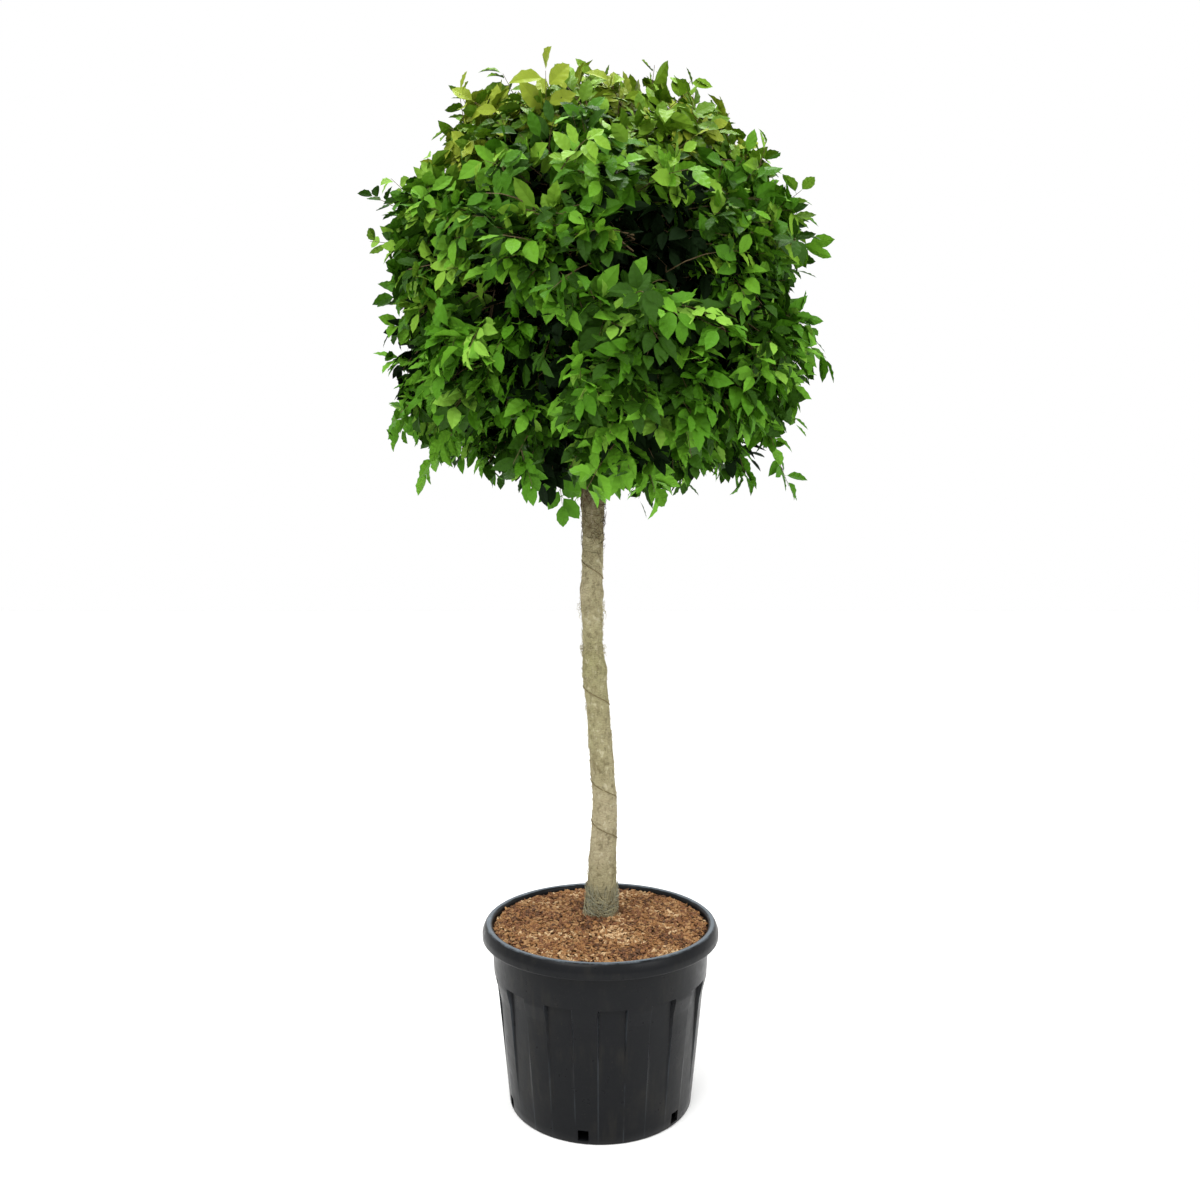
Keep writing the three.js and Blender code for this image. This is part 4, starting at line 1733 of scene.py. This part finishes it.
    def _thin(self, place: np.ndarray, space: float, limit: int) -> np.ndarray:
        """Drop places that lie closer together than a spacing.

        Args:
            place: Candidate positions in random order.
            space: The least distance.
            limit: The most to keep.

        Returns:
            The numbers of those kept.
        """
        cells: dict[tuple[int, int, int], list[int]] = {}
        kept: list[int] = []
        for i, point in enumerate(place):
            cell = tuple(int(math.floor(value / space)) for value in point)
            near = (
                cells.get((cell[0] + dx, cell[1] + dy, cell[2] + dz), ())
                for dx in (-1, 0, 1) for dy in (-1, 0, 1) for dz in (-1, 0, 1)
            )
            if any(np.linalg.norm(place[j] - point) < space for group in near for j in group):
                continue
            cells.setdefault(cell, []).append(i)
            kept.append(i)
            if len(kept) >= limit:
                break
        return np.array(kept, dtype=int)

    def _gap(self, number: int, place: np.ndarray) -> np.ndarray:
        """Distance from places on one mass to the nearest other mass.

        Args:
            number: The mass that the places are on.
            place: Positions.

        Returns:
            One distance per place.
        """
        others = [mass.tree for k, mass in enumerate(self.masses) if k != number]
        result = np.full(len(place), self.gap_reach)
        for i, point in enumerate(place):
            for tree in others:
                found = tree.find_nearest(Vector(point), self.gap_reach)
                if found[3] is not None:
                    result[i] = min(result[i], found[3])
        return result

    # -- wood --------------------------------------------------------------------------------

    def _bough_ends(self, mass: Mass) -> tuple[np.ndarray, np.ndarray, float]:
        """Find where the bough of a mass starts and ends; the crest has the trunk's leader instead.

        Args:
            mass: The mass.

        Returns:
            The two ends and the bough's radius at its foot.
        """
        node = mass.name.replace("foliage", "bough")
        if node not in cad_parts:
            start = np.array([0.0, 0.0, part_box("trunk")[1].z - 0.04])
            return start, start + np.array([0.0, 0.0, 0.05]), self.leader_girth
        corners = node_corners(node)
        order = np.argsort(np.linalg.norm(corners[:, :2], axis=1))
        girth = self.upper_girth if mass.tier is Tier.UPPER else self.bough_girth
        return corners[order[:6]].mean(0), corners[order[-6:]].mean(0), girth

    def _branch_tips(self, bases: np.ndarray) -> tuple[np.ndarray, np.ndarray]:
        """Settle a few branch tips among the bases of a mass's sprays.

        Args:
            bases: The bases of the sprays.

        Returns:
            The tips, and the number of the nearest tip to each base.
        """
        tips = bases[self.rng.choice(len(bases), min(self.branches, len(bases)), replace=False)]
        for _ in range(4):
            nearest = np.argmin(np.linalg.norm(bases[:, None] - tips[None], axis=2), axis=1)
            tips = np.array([
                bases[nearest == k].mean(0) if (nearest == k).any() else tips[k] for k in range(len(tips))
            ])
        return tips, nearest

    def _limbs(self) -> list[bpy.types.Object]:
        """Boughs from the trunk, branches that split off them and a twig for each spray.

        Returns:
            A piece of boughs and a piece of twigs.
        """
        rng, sprays = self.rng, self.sprays
        trunk = StemLine("trunk")
        steps = np.linspace(0, 1, 14)
        boughs, bough_radii, twigs, twig_radii = [], [], [], []
        for number, mass in enumerate(self.masses):
            mine = np.flatnonzero(sprays.mass == number)
            start, end, girth = self._bough_ends(mass)
            centre, _ = trunk.at(np.array([start[2]]))
            root = np.array([centre[0][0], centre[0][1], start[2] - 0.01])
            heart = mass.middle * 0.75 + end * 0.25
            boughs.append(bezier(root[None], (start * 0.4 + end * 0.6)[None], heart[None], steps)[0])
            bough_radii.append(np.linspace(girth, girth * 0.55, len(steps)))
            tips, nearest = self._branch_tips(sprays.base[mine])
            fork = heart * 0.55 + end * 0.45 + rng.normal(0, 0.012, (len(tips), 3))
            middle = (fork + tips) / 2 + rng.normal(0, 0.016, tips.shape) + UP * 0.012
            boughs.extend(bezier(fork, middle, tips, steps))
            bough_radii.extend([np.linspace(girth * 0.5, self.branch_tip, len(steps))] * len(tips))
            foot = tips[nearest] + rng.normal(0, 0.004, (len(mine), 3))
            stalk = bezier(sprays.base[mine], sprays.bend[mine], sprays.tip[mine], np.linspace(0, 1, 5))
            twigs.append(np.concatenate([foot[:, None], stalk], axis=1))
            twig_radii.append(np.tile(np.linspace(1.7, 0.5, 6) * self.twig_radius, (len(mine), 1)))
        wiggle = np.array(boughs)
        wiggle[:, 1:-1] += rng.normal(0, 0.0012, wiggle[:, 1:-1].shape)
        points, faces = tubes(wiggle, np.array(bough_radii), 9)
        mesh = mesh_from_arrays("boughs_and_branches", points, faces)
        bough_piece = link(mesh, "boughs_and_branches", self.bark.material())
        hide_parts(*(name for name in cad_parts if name.startswith("bough_")))
        points, faces = tubes(np.vstack(twigs), np.vstack(twig_radii), 3)
        twig_piece = link(mesh_from_arrays("twigs", points, faces), "twigs", TwigBark().material())
        return [bough_piece, twig_piece]

    # -- leaves ------------------------------------------------------------------------------

    def _set_leaves(self) -> Leaves:
        """Set leaves along every spray, left and right in turn, with one at the tip.

        Returns:
            The leaves.
        """
        rng, sprays = self.rng, self.sprays
        count, per = len(sprays.base), self.leaves
        place = bezier(sprays.base, sprays.bend, sprays.tip, np.linspace(self.leaf_from, 1.0, per))
        along = unit(np.gradient(place, axis=1))
        rise = np.repeat(sprays.out[:, None, 2:3], per, axis=1)
        level = unit((place - self.centre) * [1.0, 1.0, 0.0])
        face = level * (0.6 + 0.04 * rise) + UP * (0.5 + 0.12 * rise)
        face = face + rng.normal(0, self.leaf_roll, place.shape)
        face = unit(face + rng.normal(0, self.spray_roll, (count, 1, 3)))
        side = unit(np.cross(along, face))
        hand = np.where((np.arange(per)[None] + rng.integers(0, 2, (count, 1))) % 2, 1.0, -1.0)
        hand[:, -1] = 0.0
        droop = 0.3 - 0.36 * np.clip(rise, -0.8, 1)
        ahead = along * 0.7 + side * hand[..., None] * self.leaf_spread - UP * droop
        ahead = ahead + rng.normal(0, 0.2, place.shape)
        ahead = unit(ahead - face * np.einsum("nki,nki->nk", ahead, face)[..., None])
        across = unit(np.cross(ahead, face))
        turn = np.stack([across, ahead, np.cross(across, ahead)], axis=-1)
        length = self.leaf_length * (0.82 + 0.3 * np.sin(np.linspace(0.35, 2.7, per)))[None]
        length = length * rng.uniform(0.82, 1.15, (count, per)) * rng.uniform(0.84, 1.16, (count, 1))
        length = np.where(sprays.inner[:, None], length * self.shade_growth, length)
        ends = place + ahead * length[..., None] * 1.1
        low, high = (np.array(corner) for corner in PACKED_BOX)
        fits = ((ends > low - self.proud) & (ends < high + self.proud)).all(axis=-1)
        shape = np.where(fits, rng.integers(0, len(self.shapes), (count, per)), -1)
        return Leaves(place, turn, length, shape)

    def _foliage(self) -> list[bpy.types.Object]:
        """Make the leaves and join them by layer and colour.

        Returns:
            The leaf pieces.
        """
        sprays = self.sprays
        leaves = self._set_leaves()
        # Sprays that face up draw the lighter greens of their tier: painted light from above.
        lot = self.rng.uniform(0, 1, len(sprays.base)) + self.painted_sunlight * np.clip(sprays.out[:, 2], -0.1, 0.8)
        lot = np.clip(lot, 0, 0.999)
        tiers = np.array([list(Tier).index(self.masses[mass].tier) for mass in sprays.mass])
        pieces = []
        for index, tier in enumerate(Tier):
            names = [mass.name for mass in self.masses if mass.tier is tier]
            edges = np.cumsum([0.0] + [finish.share for finish in self.palettes[tier]])
            sets = [
                (finish, self.shapes, (tiers == index) & ~sprays.inner & (lot >= low) & (lot < high + 1e-9))
                for finish, low, high in zip(self.palettes[tier], edges, edges[1:])
            ]
            # Each tier's inner leaves take the near-black painted shade.
            shade = replace(self.painted_shade_finish, name=f"leaf_{tier.value}_shade")
            sets.append((shade, self.plain_shapes, (tiers == index) & sprays.inner))
            for finish, shapes, chosen in sets:
                piece = self._leaf_piece(finish, shapes, chosen, leaves)
                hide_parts(*names)
                pieces.append(piece)
        return pieces

    def _leaf_piece(
        self, finish: LeafFinish, shapes: tuple[LeafShape, ...], chosen: np.ndarray, leaves: Leaves
    ) -> bpy.types.Object:
        """Join the leaves of some sprays.

        Args:
            finish: The leaves' finish.
            shapes: The leaf shapes.
            chosen: Which sprays.
            leaves: All the crown's leaves.

        Returns:
            The piece.
        """
        points, faces, coordinates, base = [], [], [], 0
        for number, shape in enumerate(shapes):
            corners, sides, uv = shape.arrays()
            some = chosen[:, None] & (leaves.shape == number)
            turn, length = leaves.turn[some], leaves.length[some][:, None]
            spots = leaves.place[some] + turn[:, :, 1] * length * shape.stalk
            copies, sides_of_copies = scatter(corners, sides, turn, spots, np.repeat(length, 3, axis=1))
            points.append(copies)
            faces.append(sides_of_copies + base)
            coordinates.append(np.tile(uv, (len(turn), 1)))
            base += len(copies)
        blades = np.vstack(points), np.vstack(faces), np.vstack(coordinates)
        return link(mesh_from_arrays(finish.name, *blades, smooth=False), finish.name, finish.material())


# ---------------------------------------------------------------------------------------------
# The studio
# ---------------------------------------------------------------------------------------------


@dataclass(frozen=True)
class SoftLight:
    """A large square lamp aimed at a height on the plant's axis."""

    name: str
    place: tuple[float, float, float]
    aim: float
    size: float
    watts: float

    def build(self) -> None:
        """Hang the lamp."""
        data = bpy.data.lights.new(self.name, "AREA")
        data.shape = "SQUARE"
        data.size = self.size
        data.energy = self.watts
        lamp = bpy.data.objects.new(self.name, data)
        lamp.location = self.place
        toward = Vector((0, 0, self.aim)) - Vector(self.place)
        lamp.rotation_euler = toward.to_track_quat("-Z", "Y").to_euler()
        bpy.context.scene.collection.objects.link(lamp)


@dataclass
class Studio:
    """A pale floor, an even pale surround, soft lamps and the camera."""

    camera: tuple[float, float, float] = (-0.001, -2.108, 1.139)
    pitch: float = -1.41
    lens: float = 29.049
    floor_half: float = 30.0
    sky: float = 1.0
    floor_glow: float = 0.1
    floor_tones: tuple[str, str] = ("f3f3f2", "f6f6f5")
    lamps: tuple[SoftLight, ...] = (
        SoftLight("key", (-1.5, -2.4, 4.2), 1.6, 2.6, 150),
        SoftLight("fill", (2.4, -2.2, 2.6), 1.4, 2.0, 50),
        SoftLight("top", (0.2, 0.3, 4.8), 1.8, 1.8, 160),
    )

    def build(self) -> None:
        """Set up the floor, the lights and the camera."""
        bpy.context.scene.view_settings.view_transform = "Standard"
        self._lay_floor()
        self._light()
        self._set_camera()

    def _lay_floor(self) -> None:
        """Lay the plain pale floor."""
        bm = bmesh.new()
        bmesh.ops.create_grid(bm, x_segments=8, y_segments=8, size=self.floor_half)
        mesh = bpy.data.meshes.new("floor")
        bm.to_mesh(mesh)
        bm.free()
        floor = bpy.data.objects.new("floor", mesh)
        bpy.context.scene.collection.objects.link(floor)
        shader = Shader("floor_paint")
        darker, lighter = self.floor_tones
        tone = shader.ramp(shader.noise(shader.place(), 0.7, 2), [(0.3, darker), (0.7, lighter)])
        shader.surface.inputs["Emission Color"].default_value = WHITE
        shader.surface.inputs["Emission Strength"].default_value = self.floor_glow
        mesh.materials.append(shader.finish(tone, 0.7, 0.2))

    def _light(self) -> None:
        """Put an even white surround round the plant and hang the lamps."""
        world = bpy.data.worlds.new("surround")
        world.use_nodes = True
        background = world.node_tree.nodes["Background"]
        background.inputs["Color"].default_value = WHITE
        background.inputs["Strength"].default_value = self.sky
        bpy.context.scene.world = world
        for lamp in self.lamps:
            lamp.build()

    def _set_camera(self) -> None:
        """Stand the camera in front of the plant, tilted down a little."""
        data = bpy.data.cameras.new("camera")
        data.lens = self.lens
        data.sensor_width = 36.0
        data.clip_end = 200.0
        camera = bpy.data.objects.new("camera", data)
        camera.location = self.camera
        camera.rotation_euler = (math.radians(90 + self.pitch), 0, 0)
        bpy.context.scene.collection.objects.link(camera)
        bpy.context.scene.camera = camera


def main() -> None:
    """Build the plant's parts in order and report each piece."""
    logging.basicConfig(level=logging.INFO, format="%(name)s: %(message)s")
    Studio().build()
    for maker in (NurseryPot(), MulchBed(), Trunk(), StemWrap(), Crown()):
        for piece in maker.build():
            LOG.info("%s: %s, %d faces", type(maker).__name__, piece.name, len(piece.data.polygons))


if __name__ == "__main__":
    main()
